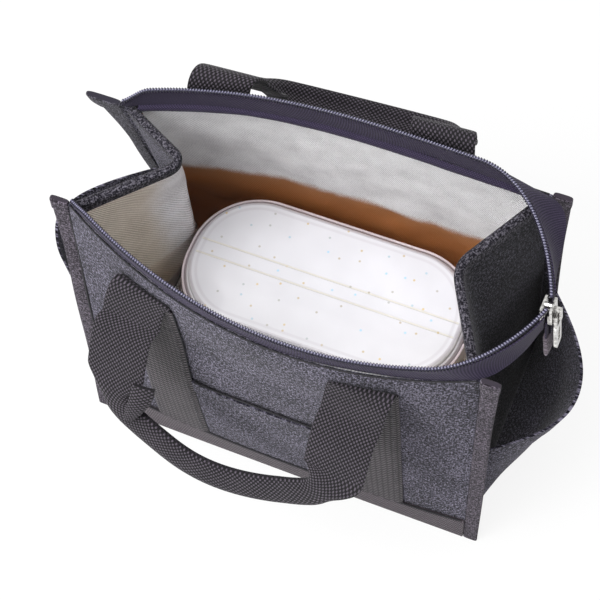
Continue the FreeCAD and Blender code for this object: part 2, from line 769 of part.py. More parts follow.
def rounded_outline(sketch, length, width, corner):
    """Rectangle with round corners about the sketch's origin, bound to three formulas."""
    half_x, half_y, radius = amount(length) / 2, amount(width) / 2, amount(corner)
    inner_x, inner_y = half_x - radius, half_y - radius
    centres = [(inner_x, inner_y), (-inner_x, inner_y), (-inner_x, -inner_y), (inner_x, -inner_y)]
    for index, (x, y) in enumerate(centres):
        start = index * math.pi / 2
        sketch.addGeometry(Part.ArcOfCircle(Part.Circle(Vector(x, y, 0), Vector(0, 0, 1), radius),
                                            start, start + math.pi / 2))
    sides = [((inner_x, half_y), (-inner_x, half_y)), ((-half_x, inner_y), (-half_x, -inner_y)),
             ((-inner_x, -half_y), (inner_x, -half_y)), ((half_x, -inner_y), (half_x, inner_y))]
    for start, end in sides:
        sketch.addGeometry(Part.LineSegment(Vector(*start, 0), Vector(*end, 0)))
    for index in range(4):
        line = 4 + index
        sketch.addConstraint(Sketcher.Constraint("Tangent", index, 2, line, 1))
        sketch.addConstraint(Sketcher.Constraint("Tangent", line, 2, (index + 1) % 4, 1))
        sketch.addConstraint(Sketcher.Constraint("Horizontal" if index % 2 == 0 else "Vertical", line))
    for index in range(1, 4):
        sketch.addConstraint(Sketcher.Constraint("Equal", 0, index))
    sketch.addConstraint(Sketcher.Constraint("Symmetric", 0, 3, 2, 3, -1, 1))
    bound = (("DistanceX", (5, 1, 7, 1), 2 * half_x, length), ("DistanceY", (6, 1, 4, 1), 2 * half_y, width),
             ("Radius", (0,), radius, corner))
    for kind, ends, value, formula in bound:
        number = sketch.addConstraint(Sketcher.Constraint(kind, *ends, value))
        sketch.setExpression(f"Constraints[{number}]", formula)


def slab(label, length, width, corner, thick, z):
    """Flat rounded sheet lying in the base."""
    body = doc.addObject("PartDesign::Body", label)
    outline = sketch_on(body, label + "_outline")
    rounded_outline(outline, length, width, corner)
    pad(body, label + "_sheet", outline, thick)
    body.Placement.Base = Vector(0, 0, z)
    keep(label, body)


def make_base():
    """Base cloth, the board that stiffens it and the lining over the board."""
    layers = "sizes.cloth + sizes.seam_gap"
    slab("base_panel", f"sizes.bag_length - 2 * ({layers} + sizes.board_clear / 2)",
         f"sizes.bag_depth - 2 * ({layers})", "sizes.board_corner / 4", "sizes.cloth", 0)
    slab("base_board", f"sizes.bag_length - 2 * ({layers} + sizes.board_clear)",
         f"sizes.bag_depth - 2 * ({layers} + sizes.board_clear)", "sizes.board_corner",
         "sizes.board_thick", BOARD_BOTTOM)
    inner = f"{layers} + sizes.lining + sizes.seam_gap"
    slab("base_lining", f"sizes.bag_length - 2 * ({inner} + sizes.board_clear)",
         f"sizes.bag_depth - 2 * ({inner} + sizes.board_clear)", "sizes.board_corner / 2",
         "sizes.lining", LINING_BOTTOM)


LUNCH_LENGTH = "sizes.bag_length - sizes.lunch_left_room - sizes.lunch_right_room"
LUNCH_WIDTH = "sizes.lunch_width"
LUNCH_CORNER = "sizes.lunch_corner"
LID_INSET = "sizes.lid_wall + sizes.lid_clear"
CAVITY_INSET = f"{LID_INSET} + sizes.tray_wall"
PLUG_INSET = f"{CAVITY_INSET} + sizes.seal_clear"
LUNCH_X = (size("lunch_left_room") - size("lunch_right_room")) / 2
LUNCH_Z = LINING_TOP + size("stack_gap")
LOWER_SEAL_Z = LUNCH_Z + size("lower_tray_height") + size("stack_gap")
UPPER_TRAY_Z = LOWER_SEAL_Z + size("seal_thick") + size("stack_gap")
UPPER_SEAL_Z = UPPER_TRAY_Z + size("upper_tray_height") + size("stack_gap")
UPPER_SEAL_TOP = UPPER_SEAL_Z + size("seal_thick")
CHANNEL_FLOOR = UPPER_SEAL_TOP - size("channel_depth")
LID_Z = UPPER_SEAL_TOP + size("stack_gap") + size("lid_wall") - size("lid_skirt")


def lunch_outline(sketch, inset):
    """Outline of the lunch box, moved inwards by a formula."""
    rounded_outline(sketch, f"{LUNCH_LENGTH} - 2 * ({inset})", f"{LUNCH_WIDTH} - 2 * ({inset})",
                    f"{LUNCH_CORNER} - ({inset})")


def lunch_place(z):
    """Place of a lunch box piece whose own zero is at height z."""
    return Placement(Vector(LUNCH_X, size("lunch_back"), z), Rotation())


def make_tray(label, height, z):
    """Open tray with round inner and outer foot edges."""
    body = doc.addObject("PartDesign::Body", label)
    outline = sketch_on(body, label + "_outline")
    lunch_outline(outline, LID_INSET)
    blank = pad(body, label + "_blank", outline, height)
    footed = fillet(body, label + "_foot", blank, "sizes.tray_round", "0")
    hollow = sketch_on(body, label + "_hollow", height)
    lunch_outline(hollow, CAVITY_INSET)
    cut = pocket(body, label + "_cavity", hollow, f"{height} - sizes.tray_floor")
    fillet(body, label + "_bowl", cut, "sizes.tray_round - sizes.tray_wall", "sizes.tray_floor")
    body.Placement = lunch_place(z)
    keep(label, body)


def seal_body(label):
    """Flat seal that covers a tray, with a plug that fits inside its rim."""
    body = doc.addObject("PartDesign::Body", label)
    outline = sketch_on(body, label + "_outline")
    lunch_outline(outline, LID_INSET)
    pad(body, label + "_plate", outline, "sizes.seal_thick")
    plug = sketch_on(body, label + "_plug_outline", "-sizes.seal_plug")
    lunch_outline(plug, PLUG_INSET)
    pad(body, label + "_plug", plug, "sizes.seal_plug")
    return body


def make_seals():
    """Seal of each tray: the lower one dished, the upper one with a stick channel."""
    lower = seal_body("lower_seal")
    dish = sketch_on(lower, "lower_seal_dish_outline", "sizes.seal_thick")
    lunch_outline(dish, f"{PLUG_INSET} + sizes.seal_thick")
    pocket(lower, "lower_seal_dish", dish, "sizes.seal_plug")
    lower.Placement = lunch_place(LOWER_SEAL_Z)
    keep("lower_seal", lower)
    upper = seal_body("upper_seal")
    trough_length = f"{LUNCH_LENGTH} - 2 * ({PLUG_INSET} + sizes.channel_margin)"
    trough = sketch_on(upper, "stick_trough_outline",
                       "sizes.seal_thick - sizes.channel_depth - sizes.channel_wall")
    rounded_outline(trough, trough_length, "sizes.channel_width + 2 * sizes.channel_wall",
                    "2 * sizes.channel_wall")
    pad(upper, "stick_trough", trough, "sizes.channel_depth + sizes.channel_wall")
    channel = sketch_on(upper, "stick_channel_outline", "sizes.seal_thick")
    rounded_outline(channel, f"{trough_length} - 2 * sizes.channel_wall", "sizes.channel_width",
                    "sizes.channel_wall")
    pocket(upper, "stick_channel", channel, "sizes.channel_depth")
    upper.Placement = lunch_place(UPPER_SEAL_Z)
    keep("upper_seal", upper)


def make_sticks():
    """Pair of tapered chopsticks side by side in the channel, butts at opposite ends."""
    length = f"{LUNCH_LENGTH} - 2 * ({PLUG_INSET} + sizes.channel_margin + 2 * sizes.channel_wall)"
    lift = CHANNEL_FLOOR + size("stick_clear") + size("stick_butt")
    half = amount(length) / 2
    for hand, name in ((FRONT, "front"), (BACK, "back")):
        stick = doc.addObject("Part::Cone", name + "_chopstick")
        stick.setExpression("Radius1", "sizes.stick_butt")
        stick.setExpression("Radius2", "sizes.stick_tip")
        stick.setExpression("Height", length)
        spacing = size("stick_butt") + size("stick_tip") + size("stick_clear")
        y = size("lunch_back") + hand * spacing / 2
        stick.Placement = Placement(Vector(LUNCH_X + hand * half, y, lift),
                                    Rotation(Vector(0, 0, 1), Vector(-hand, 0, 0)))
        keep(name + "_chopstick", stick)


def make_lid():
    """Clear cover: a skirt round the upper tray's rim and a stepped, rounded crown."""
    body = doc.addObject("PartDesign::Body", "lunch_lid")
    outline = sketch_on(body, "lid_outline")
    lunch_outline(outline, "0")
    skirt = pad(body, "lid_skirt", outline, "sizes.lid_skirt")
    fillet(body, "lid_shoulder", skirt, "sizes.lid_round", "sizes.lid_skirt")
    crown_outline = sketch_on(body, "lid_crown_outline", "sizes.lid_skirt")
    lunch_outline(crown_outline, "sizes.lid_step")
    crown = pad(body, "lid_crown", crown_outline, "sizes.lid_crown")
    fillet(body, "lid_edge", crown, "sizes.lid_round", "sizes.lid_skirt + sizes.lid_crown")
    hollow = sketch_on(body, "lid_hollow_outline", "sizes.lid_skirt + sizes.lid_crown - sizes.lid_wall")
    lunch_outline(hollow, "sizes.lid_step + sizes.lid_wall")
    pocket(body, "lid_hollow", hollow, "sizes.lid_crown + sizes.lid_skirt")
    rebate = sketch_on(body, "lid_rebate_outline", "sizes.lid_skirt - sizes.lid_wall")
    lunch_outline(rebate, "sizes.lid_wall")
    pocket(body, "lid_rebate", rebate, "sizes.lid_skirt")
    body.Placement = lunch_place(LID_Z)
    keep("lunch_lid", body)


def check_and_write():
    """Writes every sub-part, once all of them are whole."""
    doc.recompute()
    for item in doc.Objects:
        if {"Invalid", "Error"} & set(item.State):
            raise RuntimeError(item.Name + " failed: " + ", ".join(item.State))
    for node in nodes:
        if node.Shape.isNull() or not node.Shape.isValid() or not node.Shape.Solids:
            raise RuntimeError(node.Label + " has no valid solid")
    os.makedirs("parts", exist_ok=True)
    for node in nodes:
        node.Shape.exportStep(f"parts/{node.Label}.step")
        extent = node.Shape.BoundBox
        print(f"{node.Label}: {node.Shape.Volume:.0f} mm3, x {extent.XMin:.1f} {extent.XMax:.1f},"
              f" y {extent.YMin:.1f} {extent.YMax:.1f}, z {extent.ZMin:.1f} {extent.ZMax:.1f}")


make_shell()
make_edge_bindings()
make_corner_seams()
make_base()
make_base_bands()
make_pockets()
make_straps()
make_handle(FRONT, "front_handle")
make_handle(BACK, "back_handle")
make_tapes()
make_chains()
make_slider()
make_pull()
make_tail()
make_tray("lower_tray", "sizes.lower_tray_height", LUNCH_Z)
make_tray("upper_tray", "sizes.upper_tray_height", UPPER_TRAY_Z)
make_seals()
make_sticks()
make_lid()
check_and_write()
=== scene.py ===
"""Studio scene of a soft insulated lunch carrier with a two-tier lunch box inside it.

Lengths are millimetres in the row frame until a mesh is made: +X along the
carrier, +Y to its back, +Z up, with the origin under the middle of its base.
Finishes measure in metres.
"""

import json
import logging
import math
from dataclasses import dataclass
from enum import Enum
from functools import cached_property, partial
from typing import Any, Callable, ClassVar, Mapping, Sequence

import bmesh
import bpy
import numpy as np
from mathutils import Matrix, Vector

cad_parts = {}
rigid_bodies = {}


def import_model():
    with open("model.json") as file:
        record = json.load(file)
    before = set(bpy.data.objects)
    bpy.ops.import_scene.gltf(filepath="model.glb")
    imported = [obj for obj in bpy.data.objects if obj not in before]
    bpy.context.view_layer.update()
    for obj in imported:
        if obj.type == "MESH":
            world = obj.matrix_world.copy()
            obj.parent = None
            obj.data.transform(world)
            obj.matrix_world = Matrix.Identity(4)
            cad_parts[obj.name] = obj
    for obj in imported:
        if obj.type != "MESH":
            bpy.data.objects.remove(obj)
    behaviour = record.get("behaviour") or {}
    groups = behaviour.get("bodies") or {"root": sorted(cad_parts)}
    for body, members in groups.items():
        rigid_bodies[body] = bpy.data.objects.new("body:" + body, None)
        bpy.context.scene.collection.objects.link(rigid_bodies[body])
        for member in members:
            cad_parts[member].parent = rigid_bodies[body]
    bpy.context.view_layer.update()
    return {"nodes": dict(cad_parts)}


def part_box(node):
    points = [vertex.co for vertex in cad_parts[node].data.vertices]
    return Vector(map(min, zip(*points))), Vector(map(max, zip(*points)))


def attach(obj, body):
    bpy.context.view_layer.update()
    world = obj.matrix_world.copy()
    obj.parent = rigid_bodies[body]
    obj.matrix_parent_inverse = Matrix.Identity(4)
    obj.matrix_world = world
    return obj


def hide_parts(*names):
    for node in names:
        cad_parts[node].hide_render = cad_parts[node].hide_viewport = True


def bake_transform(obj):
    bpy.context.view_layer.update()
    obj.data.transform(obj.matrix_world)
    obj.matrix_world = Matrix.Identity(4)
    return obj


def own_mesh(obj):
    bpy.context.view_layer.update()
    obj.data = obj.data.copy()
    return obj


LOG = logging.getLogger("lunch_carrier")
MM = 0.001
CIRCLE = 2 * math.pi
SHARP = math.radians(50)
ROUND = 2.0
Array = np.ndarray
Colour = tuple[float, float, float, float]
Pair = tuple[float, float]
Triple = tuple[float, float, float]
Inset = float | Callable[[Array, Array], Array]


class Side(Enum):
    """Long wall of the carrier, by the sign of its Y."""

    FRONT = -1
    BACK = 1


class End(Enum):
    """Short wall of the carrier, by the sign of its X."""

    LEFT = -1
    RIGHT = 1


@dataclass(frozen=True)
class BagSizes:
    """Sizes that the soft pieces share, in millimetres."""

    half_length: float = 109.0
    half_depth: float = 63.0
    height: float = 188.0
    cloth: float = 1.2
    cloth_foot: float = 0.3
    lining: float = 2.2
    lining_foot: float = 4.2
    lining_top: float = 187.0
    gap: float = 0.2
    band_height: float = 22.0
    band_thick: float = 1.6
    strap_width: float = 32.0
    strap_thick: float = 1.8
    strap_spread: float = 116.6
    strap_top: float = 172.0
    tape_height: float = 12.0
    coil_pitch: float = 1.45
    slider: Pair = (126.5, -6.0)

    @property
    def layers(self) -> float:
        """Cloth, gap and lining together."""
        return self.cloth + self.gap + self.lining


@dataclass(frozen=True)
class LidSizes:
    """Outline of the lunch box's lid: a rectangle with round corners, in millimetres."""

    centre: Pair = (5.0, 7.5)
    half: Pair = (78.0, 39.5)
    corner: float = 36.0


BAG = BagSizes()
LID_SIZES = LidSizes()


# ---- numbers to surfaces

def lerp(start: Any, end: Any, share: Any) -> Any:
    """Value a share of the way from start to end."""
    return start + (end - start) * share


def smooth(low: float, high: float, value: Array) -> Array:
    """Smooth step of value from 0 at low to 1 at high; low may be the larger."""
    t = np.clip((value - low) / (high - low), 0.0, 1.0)
    return t * t * (3.0 - 2.0 * t)


def bernstein(t: Array) -> tuple[Array, Array, Array, Array]:
    """Weights of a cubic curve's four poles at t."""
    return (1 - t) ** 3, 3 * t * (1 - t) ** 2, 3 * t * t * (1 - t), t ** 3


def bezier(poles: Sequence[Any], t: Array) -> Array:
    """Cubic curve: the four poles weighted by the cubic Bernstein polynomials of t."""
    return sum(np.multiply.outer(w, np.asarray(p, float)) for w, p in zip(bernstein(t), poles))


def unit(vectors: Array) -> Array:
    """Vectors scaled to length 1."""
    return vectors / np.maximum(np.linalg.norm(vectors, axis=-1, keepdims=True), 1e-12)


def beside(way: Array) -> Array:
    """Level directions to the left of other level directions, seen from above."""
    return np.stack([-way[..., 1], way[..., 0], np.zeros_like(way[..., 0])], -1)


def running(points: Array) -> Array:
    """Length along a line of points, from 0 at the first."""
    return np.concatenate([[0], np.cumsum(np.linalg.norm(np.diff(points, axis=0), axis=1))])


def resample(at: Array, run: Array, values: Array) -> Array:
    """Vectors at chosen lengths along a line, with straight lines between its points."""
    return np.stack([np.interp(at, run, column) for column in values.T], -1)


def ripples(u: Array, v: Array, seed: int, waves: int = 14, low: float = 0.4, high: float = 2.2
            ) -> Array:
    """Soft uneven field: a sum of cosines with seeded directions, lengths and phases.

    Args:
        u: First coordinate, in units of the longest wave.
        v: Second coordinate, in the same units.
        seed: Seed of the draw.
        waves: Number of cosines.
        low: Lowest frequency.
        high: Highest frequency.

    Returns:
        Values of about -1 to 1.
    """
    draw = np.random.default_rng(seed)
    total = np.zeros(np.broadcast(u, v).shape)
    for _ in range(waves):
        frequency = draw.uniform(low, high)
        heading, phase = draw.uniform(0, CIRCLE, 2)
        along = u * math.cos(heading) + v * math.sin(heading)
        total = total + np.cos(CIRCLE * frequency * along + phase) / frequency
    return total / (1.2 * math.sqrt(waves))


@dataclass
class Solid:
    """Closed mesh: points in millimetres, faces, and a cloth coordinate for each face corner."""

    points: Array
    faces: list[tuple[int, ...]]
    corners: Array

    @staticmethod
    def joined(parts: Sequence["Solid"]) -> "Solid":
        """Several closed meshes as one.

        Args:
            parts: The meshes.

        Returns:
            One mesh; the parts share no points.
        """
        faces: list[tuple[int, ...]] = []
        start = 0
        for part in parts:
            faces += [tuple(i + start for i in face) for face in part.faces]
            start += len(part.points)
        return Solid(np.concatenate([p.points for p in parts]), faces,
                     np.concatenate([p.corners for p in parts]))

    def mesh(self, name: str) -> bpy.types.Mesh:
        """Blender mesh with outward normals, in metres.

        Args:
            name: Name of the mesh.

        Returns:
            The mesh, smooth but for sharp edges, with its cloth coordinates.
        """
        mesh = bpy.data.meshes.new(name)
        mesh.from_pydata((self.points * MM).tolist(), [], self.faces)
        layer = mesh.uv_layers.new(name="cloth")
        layer.data.foreach_set("uv", (self.corners * MM).astype(np.float32).ravel())
        shape = bmesh.new()
        shape.from_mesh(mesh)
        bmesh.ops.recalc_face_normals(shape, faces=shape.faces)
        shape.to_mesh(mesh)
        shape.free()
        mesh.polygons.foreach_set("use_smooth", np.ones(len(mesh.polygons), bool))
        mesh.set_sharp_from_angle(angle=SHARP)
        return mesh


def grid_lengths(grid: Array) -> tuple[Array, Array]:
    """Mean running length along each of a grid's two directions.

    Args:
        grid: Points, (rows, columns, 3).

    Returns:
        Lengths at each row and at each column.
    """
    along = np.linalg.norm(np.diff(grid, axis=0), axis=2).mean(1)
    across = np.linalg.norm(np.diff(grid, axis=1), axis=2).mean(0)
    return np.concatenate([[0], np.cumsum(along)]), np.concatenate([[0], np.cumsum(across)])


def slab(outer: Array, inner: Array) -> Solid:
    """Closed sheet between two grids of points of the same shape.

    Args:
        outer: Points of one face, (rows, columns, 3).
        inner: Points of the other face.

    Returns:
        The sheet; its cloth coordinates are the running lengths along the grid.
    """
    rows, cols = outer.shape[:2]
    index = np.arange(rows * cols).reshape(rows, cols)
    a, b, c, d = index[:-1, :-1], index[1:, :-1], index[1:, 1:], index[:-1, 1:]
    top = np.stack([a, b, c, d], -1).reshape(-1, 4)
    bottom = top[:, ::-1] + rows * cols
    edge = np.concatenate([index[:, 0], index[-1, 1:], index[-2::-1, -1], index[0, -2:0:-1]])
    following = np.roll(edge, -1)
    rim = np.stack([edge, edge + rows * cols, following + rows * cols, following], -1)
    faces = np.concatenate([top, bottom, rim])
    u, v = grid_lengths(outer)
    place = np.stack(np.meshgrid(u, v, indexing="ij"), -1).reshape(-1, 2)
    corners = np.concatenate([place, place])[faces.ravel()]
    points = np.concatenate([outer.reshape(-1, 3), inner.reshape(-1, 3)])
    return Solid(points, [tuple(f) for f in faces.tolist()], corners)


def sweep(path: Array, wide: Array, deep: Array, profile: Array) -> Solid:
    """Closed profile carried along a path.

    Args:
        path: Centre points, (n, 3).
        wide: Unit directions of the profile's first coordinate, (n, 3).
        deep: Unit directions of its second coordinate, (n, 3).
        profile: Profile points, (m, 2), or one profile per station, (n, m, 2).

    Returns:
        The swept body with flat ends; its cloth coordinates run across the profile and
        along the path.
    """
    stations = len(path)
    shape = np.broadcast_to(profile, (stations,) + profile.shape[-2:])
    count = shape.shape[1]
    points = path[:, None] + shape[..., :1] * wide[:, None] + shape[..., 1:] * deep[:, None]
    row = np.arange(stations - 1)[:, None] * count
    col = np.arange(count)[None]
    after = (col + 1) % count
    quads = np.stack([row + col, row + after, row + count + after, row + count + col], -1)
    length = running(path)
    across, turned = shape[..., 0], np.roll(shape[..., 0], -1, axis=1)
    u = np.stack([across[:-1], turned[:-1], turned[1:], across[1:]], -1)
    v = np.broadcast_to(
        np.stack([length[:-1], length[:-1], length[1:], length[1:]], -1)[:, None], u.shape)
    faces = [tuple(f) for f in quads.reshape(-1, 4).tolist()]
    last = (stations - 1) * count
    faces += [tuple(range(count))[::-1], tuple(range(last, last + count))]
    corners = np.concatenate([np.stack([u, v], -1).reshape(-1, 2), np.zeros((2 * count, 2))])
    return Solid(points.reshape(-1, 3), faces, corners)


def rounded_profile(width: Any, thick: Any, count: int, power: Any) -> Array:
    """Superellipse: |x / a| to a power plus |y / b| to that power is one.

    Args:
        width: Full width, one or one per station.
        thick: Full thickness, one or one per station.
        count: Points round it.
        power: ROUND for an ellipse, higher is squarer; one or one per station.

    Returns:
        Profile points, (count, 2) or (n, count, 2).
    """
    angle = np.linspace(0, CIRCLE, count, endpoint=False)
    bend = 2 / np.asarray(power, float)[..., None]
    sides = [np.asarray(full)[..., None] / 2 * (np.sign(wave) * np.abs(wave) ** bend)
             for full, wave in ((width, np.cos(angle)), (thick, np.sin(angle)))]
    return np.stack(np.broadcast_arrays(*sides), -1)


def frames(path: Array, wide_hint: Array) -> tuple[Array, Array]:
    """Directions along a path: the hint made square to the path, and the cross product of both.

    Args:
        path: Points, (n, 3).
        wide_hint: Rough width directions, (n, 3).

    Returns:
        Width and depth directions.
    """
    along = unit(np.gradient(path, axis=0))
    wide = unit(wide_hint - along * (wide_hint * along).sum(-1, keepdims=True))
    return wide, np.cross(along, wide)


# ---- shader graph

def linear(value: float) -> float:
    """One screen channel of 0 to 255 as linear light."""
    value /= 255
    return value / 12.92 if value <= 0.04045 else ((value + 0.055) / 1.055) ** 2.4


def tint(red: float, green: float, blue: float) -> Colour:
    """Screen colour of 0 to 255 as a linear colour."""
    return linear(red), linear(green), linear(blue), 1.0


class Value:
    """A shader socket. Arithmetic on it adds math nodes to its graph."""

    def __init__(self, graph: "Graph", socket: bpy.types.NodeSocket) -> None:
        """Holds the socket and the graph it is in."""
        self.graph = graph
        self.socket = socket

    def _math(self, kind: str, *terms: Any) -> "Value":
        """A math node of a kind on some terms."""
        return self.graph.node("ShaderNodeMath", dict(enumerate(terms)), operation=kind)

    def __add__(self, other: Any) -> "Value":
        """Sum."""
        return self._math("ADD", self, other)

    def __radd__(self, other: Any) -> "Value":
        """Sum with a number on the left."""
        return self._math("ADD", other, self)

    def __sub__(self, other: Any) -> "Value":
        """Difference."""
        return self._math("SUBTRACT", self, other)

    def __rsub__(self, other: Any) -> "Value":
        """Difference from a number on the left."""
        return self._math("SUBTRACT", other, self)

    def __mul__(self, other: Any) -> "Value":
        """Product."""
        return self._math("MULTIPLY", self, other)

    def __rmul__(self, other: Any) -> "Value":
        """Product with a number on the left."""
        return self._math("MULTIPLY", other, self)

    def __truediv__(self, other: Any) -> "Value":
        """Quotient."""
        return self._math("DIVIDE", self, other)

    def __rtruediv__(self, other: Any) -> "Value":
        """Quotient of a number on the left."""
        return self._math("DIVIDE", other, self)

    def __neg__(self) -> "Value":
        """The value with its sign changed."""
        return self._math("MULTIPLY", self, -1.0)

    def __abs__(self) -> "Value":
        """The value without its sign."""
        return self._math("ABSOLUTE", self)

    def sine(self) -> "Value":
        """Sine of the value."""
        return self._math("SINE", self)

    def root(self) -> "Value":
        """Square root of the value."""
        return self._math("SQRT", self)

    def step(self, low: float, high: float) -> "Value":
        """Smooth step.

        Args:
            low: Value at which it is 0; it may be the larger of the two.
            high: Value at which it is 1.

        Returns:
            A value of 0 to 1.
        """
        if low > high:
            return 1.0 - self.step(high, low)
        return self.graph.node("ShaderNodeMapRange",
                               {"Value": self, "From Min": low, "From Max": high},
                               interpolation_type="SMOOTHSTEP")


class Graph:
    """A material's node graph."""

    def __init__(self, name: str) -> None:
        """Starts a material whose surface is one principled shader.

        Args:
            name: Name of the material.
        """
        self.material = bpy.data.materials.new(name)
        self.material.use_nodes = True
        self.tree = self.material.node_tree
        self.tree.nodes.clear()
        self.output = self.tree.nodes.new("ShaderNodeOutputMaterial")
        self.shader = self.tree.nodes.new("ShaderNodeBsdfPrincipled")
        self.tree.links.new(self.shader.outputs[0], self.output.inputs["Surface"])

    def node(self, kind: str, inputs: Mapping[Any, Any], out: Any = 0, **settings: Any) -> Value:
        """Any node.

        Args:
            kind: Blender's name of the node type.
            inputs: Values, numbers or colours by input name or number.
            out: Name or number of the output to return.
            settings: Properties of the node.

        Returns:
            The chosen output.
        """
        made = self.tree.nodes.new(kind)
        for key, value in settings.items():
            setattr(made, key, value)
        for key, value in inputs.items():
            self.feed(made.inputs[key], value)
        return Value(self, made.outputs[out])

    def feed(self, socket: bpy.types.NodeSocket, value: Any) -> None:
        """Links a value to a socket, or sets a constant on it.

        Args:
            socket: Input socket.
            value: Value, number or colour.
        """
        if isinstance(value, Value):
            self.tree.links.new(value.socket, socket)
        else:
            socket.default_value = value

    def split(self, vector: Value) -> tuple[Value, Value, Value]:
        """The three parts of a vector."""
        made = self.node("ShaderNodeSeparateXYZ", {0: vector}).socket.node
        return tuple(Value(self, socket) for socket in made.outputs)

    @cached_property
    def cloth(self) -> tuple[Value, Value, Value]:
        """Coordinates along and across the cloth, in metres."""
        return self.split(self.node("ShaderNodeUVMap", {}, uv_map="cloth"))

    @cached_property
    def place(self) -> tuple[Value, Value, Value]:
        """Place in the object's frame, in metres."""
        return self.split(self.node("ShaderNodeTexCoord", {}, out="Object"))

    def vector(self, x: Any = 0.0, y: Any = 0.0, z: Any = 0.0) -> Value:
        """A vector of three values."""
        return self.node("ShaderNodeCombineXYZ", {0: x, 1: y, 2: z})

    def noise(self, vector: Value, scale: float, detail: float = 2.0) -> Value:
        """Noise of 0 to 1."""
        return self.node("ShaderNodeTexNoise",
                         {"Vector": vector, "Scale": scale, "Detail": detail})

    def cloth_noise(self, scale: float, detail: float = 2.0) -> Value:
        """Noise of 0 to 1 over the cloth."""
        u, v, _ = self.cloth
        return self.noise(self.vector(u, v), scale, detail)

    def place_noise(self, scale: float, detail: float = 2.0) -> Value:
        """Noise of 0 to 1 in the object's frame."""
        return self.noise(self.vector(*self.place), scale, detail)

    def ramp(self, factor: Value, *stops: tuple[float, Colour]) -> Value:
        """Colour by factor.

        Args:
            factor: Value of 0 to 1.
            stops: Places on the ramp and their colours.

        Returns:
            The colour.
        """
        made = self.tree.nodes.new("ShaderNodeValToRGB")
        elements = made.color_ramp.elements
        while len(elements) < len(stops):
            elements.new(0.5)
        for element, (place, colour) in zip(elements, stops):
            element.position = place
            element.color = colour
        self.feed(made.inputs[0], factor)
        return Value(self, made.outputs[0])

    def mix(self, factor: Any, first: Any, second: Any) -> Value:
        """Colour between two colours."""
        return self.node("ShaderNodeMix", {0: factor, 6: first, 7: second}, out=2,
                         data_type="RGBA")

    def bump(self, height: Value, distance: float, strength: float = 1.0) -> Value:
        """Normal raised by a height of 0 to 1 over a distance in metres."""
        return self.node("ShaderNodeBump",
                         {"Height": height, "Distance": distance, "Strength": strength})

    def finish(self, **sockets: Any) -> bpy.types.Material:
        """Feeds the surface shader.

        Args:
            sockets: Values by input name, with _ for a space.

        Returns:
            The material.
        """
        for name, value in sockets.items():
            self.feed(self.shader.inputs[name.replace("_", " ")], value)
        return self.material


# ---- finishes

@dataclass(frozen=True)
class Finish:
    """A procedural finish and the record's slot that it belongs to."""

    name: str
    slot: str
    made: ClassVar[dict[str, bpy.types.Material]] = {}

    def material(self) -> bpy.types.Material:
        """The finish as a material, made once.

        Returns:
            The material.
        """
        if self.name not in self.made:
            self.made[self.name] = self.make(Graph(f"{self.name}_finish"))
        return self.made[self.name]

    def make(self, graph: Graph) -> bpy.types.Material:
        """Builds the node graph and returns its material."""
        raise NotImplementedError


@dataclass(frozen=True)
class Heather(Finish):
    """Melange cloth: threads over and under each other, each with slubs of lighter fibre."""

    dark: Colour = tint(13, 12, 17)
    middle: Colour = tint(48, 46, 57)
    light: Colour = tint(126, 122, 139)
    pitch: float = 0.0009
    relief: float = 0.0002
    slub_rates: Pair = (420.0, 1200.0)

    def make(self, graph: Graph) -> bpy.types.Material:
        """Plain weave with slubs along both threads, and a slow change of tone.

        Args:
            graph: Graph to fill.

        Returns:
            Its material.
        """
        u, v, _ = graph.cloth
        rate = math.pi / self.pitch
        long, short = self.slub_rates
        weave = (u * rate).sine() * (v * rate).sine()
        weft = graph.noise(graph.vector(u * long, v * short), 1.0, 1.0)
        warp = graph.noise(graph.vector(u * short, v * long, 7.0), 1.0, 1.0)
        over = weave.step(-0.35, 0.35)
        slub = weft + (warp - weft) * over
        tone = slub + graph.cloth_noise(38.0, 3.0) * 0.16 - 0.08
        colour = graph.ramp(tone, (0.38, self.dark), (0.5, self.middle), (0.63, self.light))
        height = abs(weave) * 0.3 + slub * 0.7
        return graph.finish(Base_Color=colour, Roughness=0.92,
                            Normal=graph.bump(height, self.relief),
                            Sheen_Weight=0.1, Specular_IOR_Level=0.06)


@dataclass(frozen=True)
class Webbing(Finish):
    """Heavy woven strap: fat warp floats in a basket weave.

    Attributes:
        rib: Rate of the floats along the strap, in pitches.
        cross: Rate of the floats across the strap, in pitches.
    """

    dark: Colour = tint(13, 12, 15)
    light: Colour = tint(85, 78, 88)
    pitch: float = 0.0011
    rib: float = 0.8
    cross: float = 1.0
    relief: float = 0.0005

    def make(self, graph: Graph) -> bpy.types.Material:
        """Floats that stand up in staggered rows, like a draughtboard: a product of two sines;
        their tops are painted lighter as highlight and the gaps between them darker as shade.

        Args:
            graph: Graph to fill.

        Returns:
            Its material.
        """
        u, v, _ = graph.cloth
        wave_u = (u * (math.pi * self.cross / self.pitch)).sine()
        wave_v = (v * (math.pi * self.rib / self.pitch)).sine()
        bead = (wave_u * wave_v).step(-0.25, 0.75)
        fuzz = graph.cloth_noise(900.0, 1.0)
        slow = graph.cloth_noise(60.0)
        height = bead * 0.85 + fuzz * 0.15
        # Colour: float tops painted lighter as highlight, the gaps between them darker as shade,
        # with random fuzz and slow tone.
        tone = bead * 0.8 + (fuzz - 0.5) * 0.5 + (slow - 0.5) * 0.25
        colour = graph.ramp(tone, (0.05, self.dark), (0.85, self.light))
        return graph.finish(Base_Color=colour, Roughness=0.72,
                            Normal=graph.bump(height, self.relief),
                            Sheen_Weight=0.08, Specular_IOR_Level=0.15)


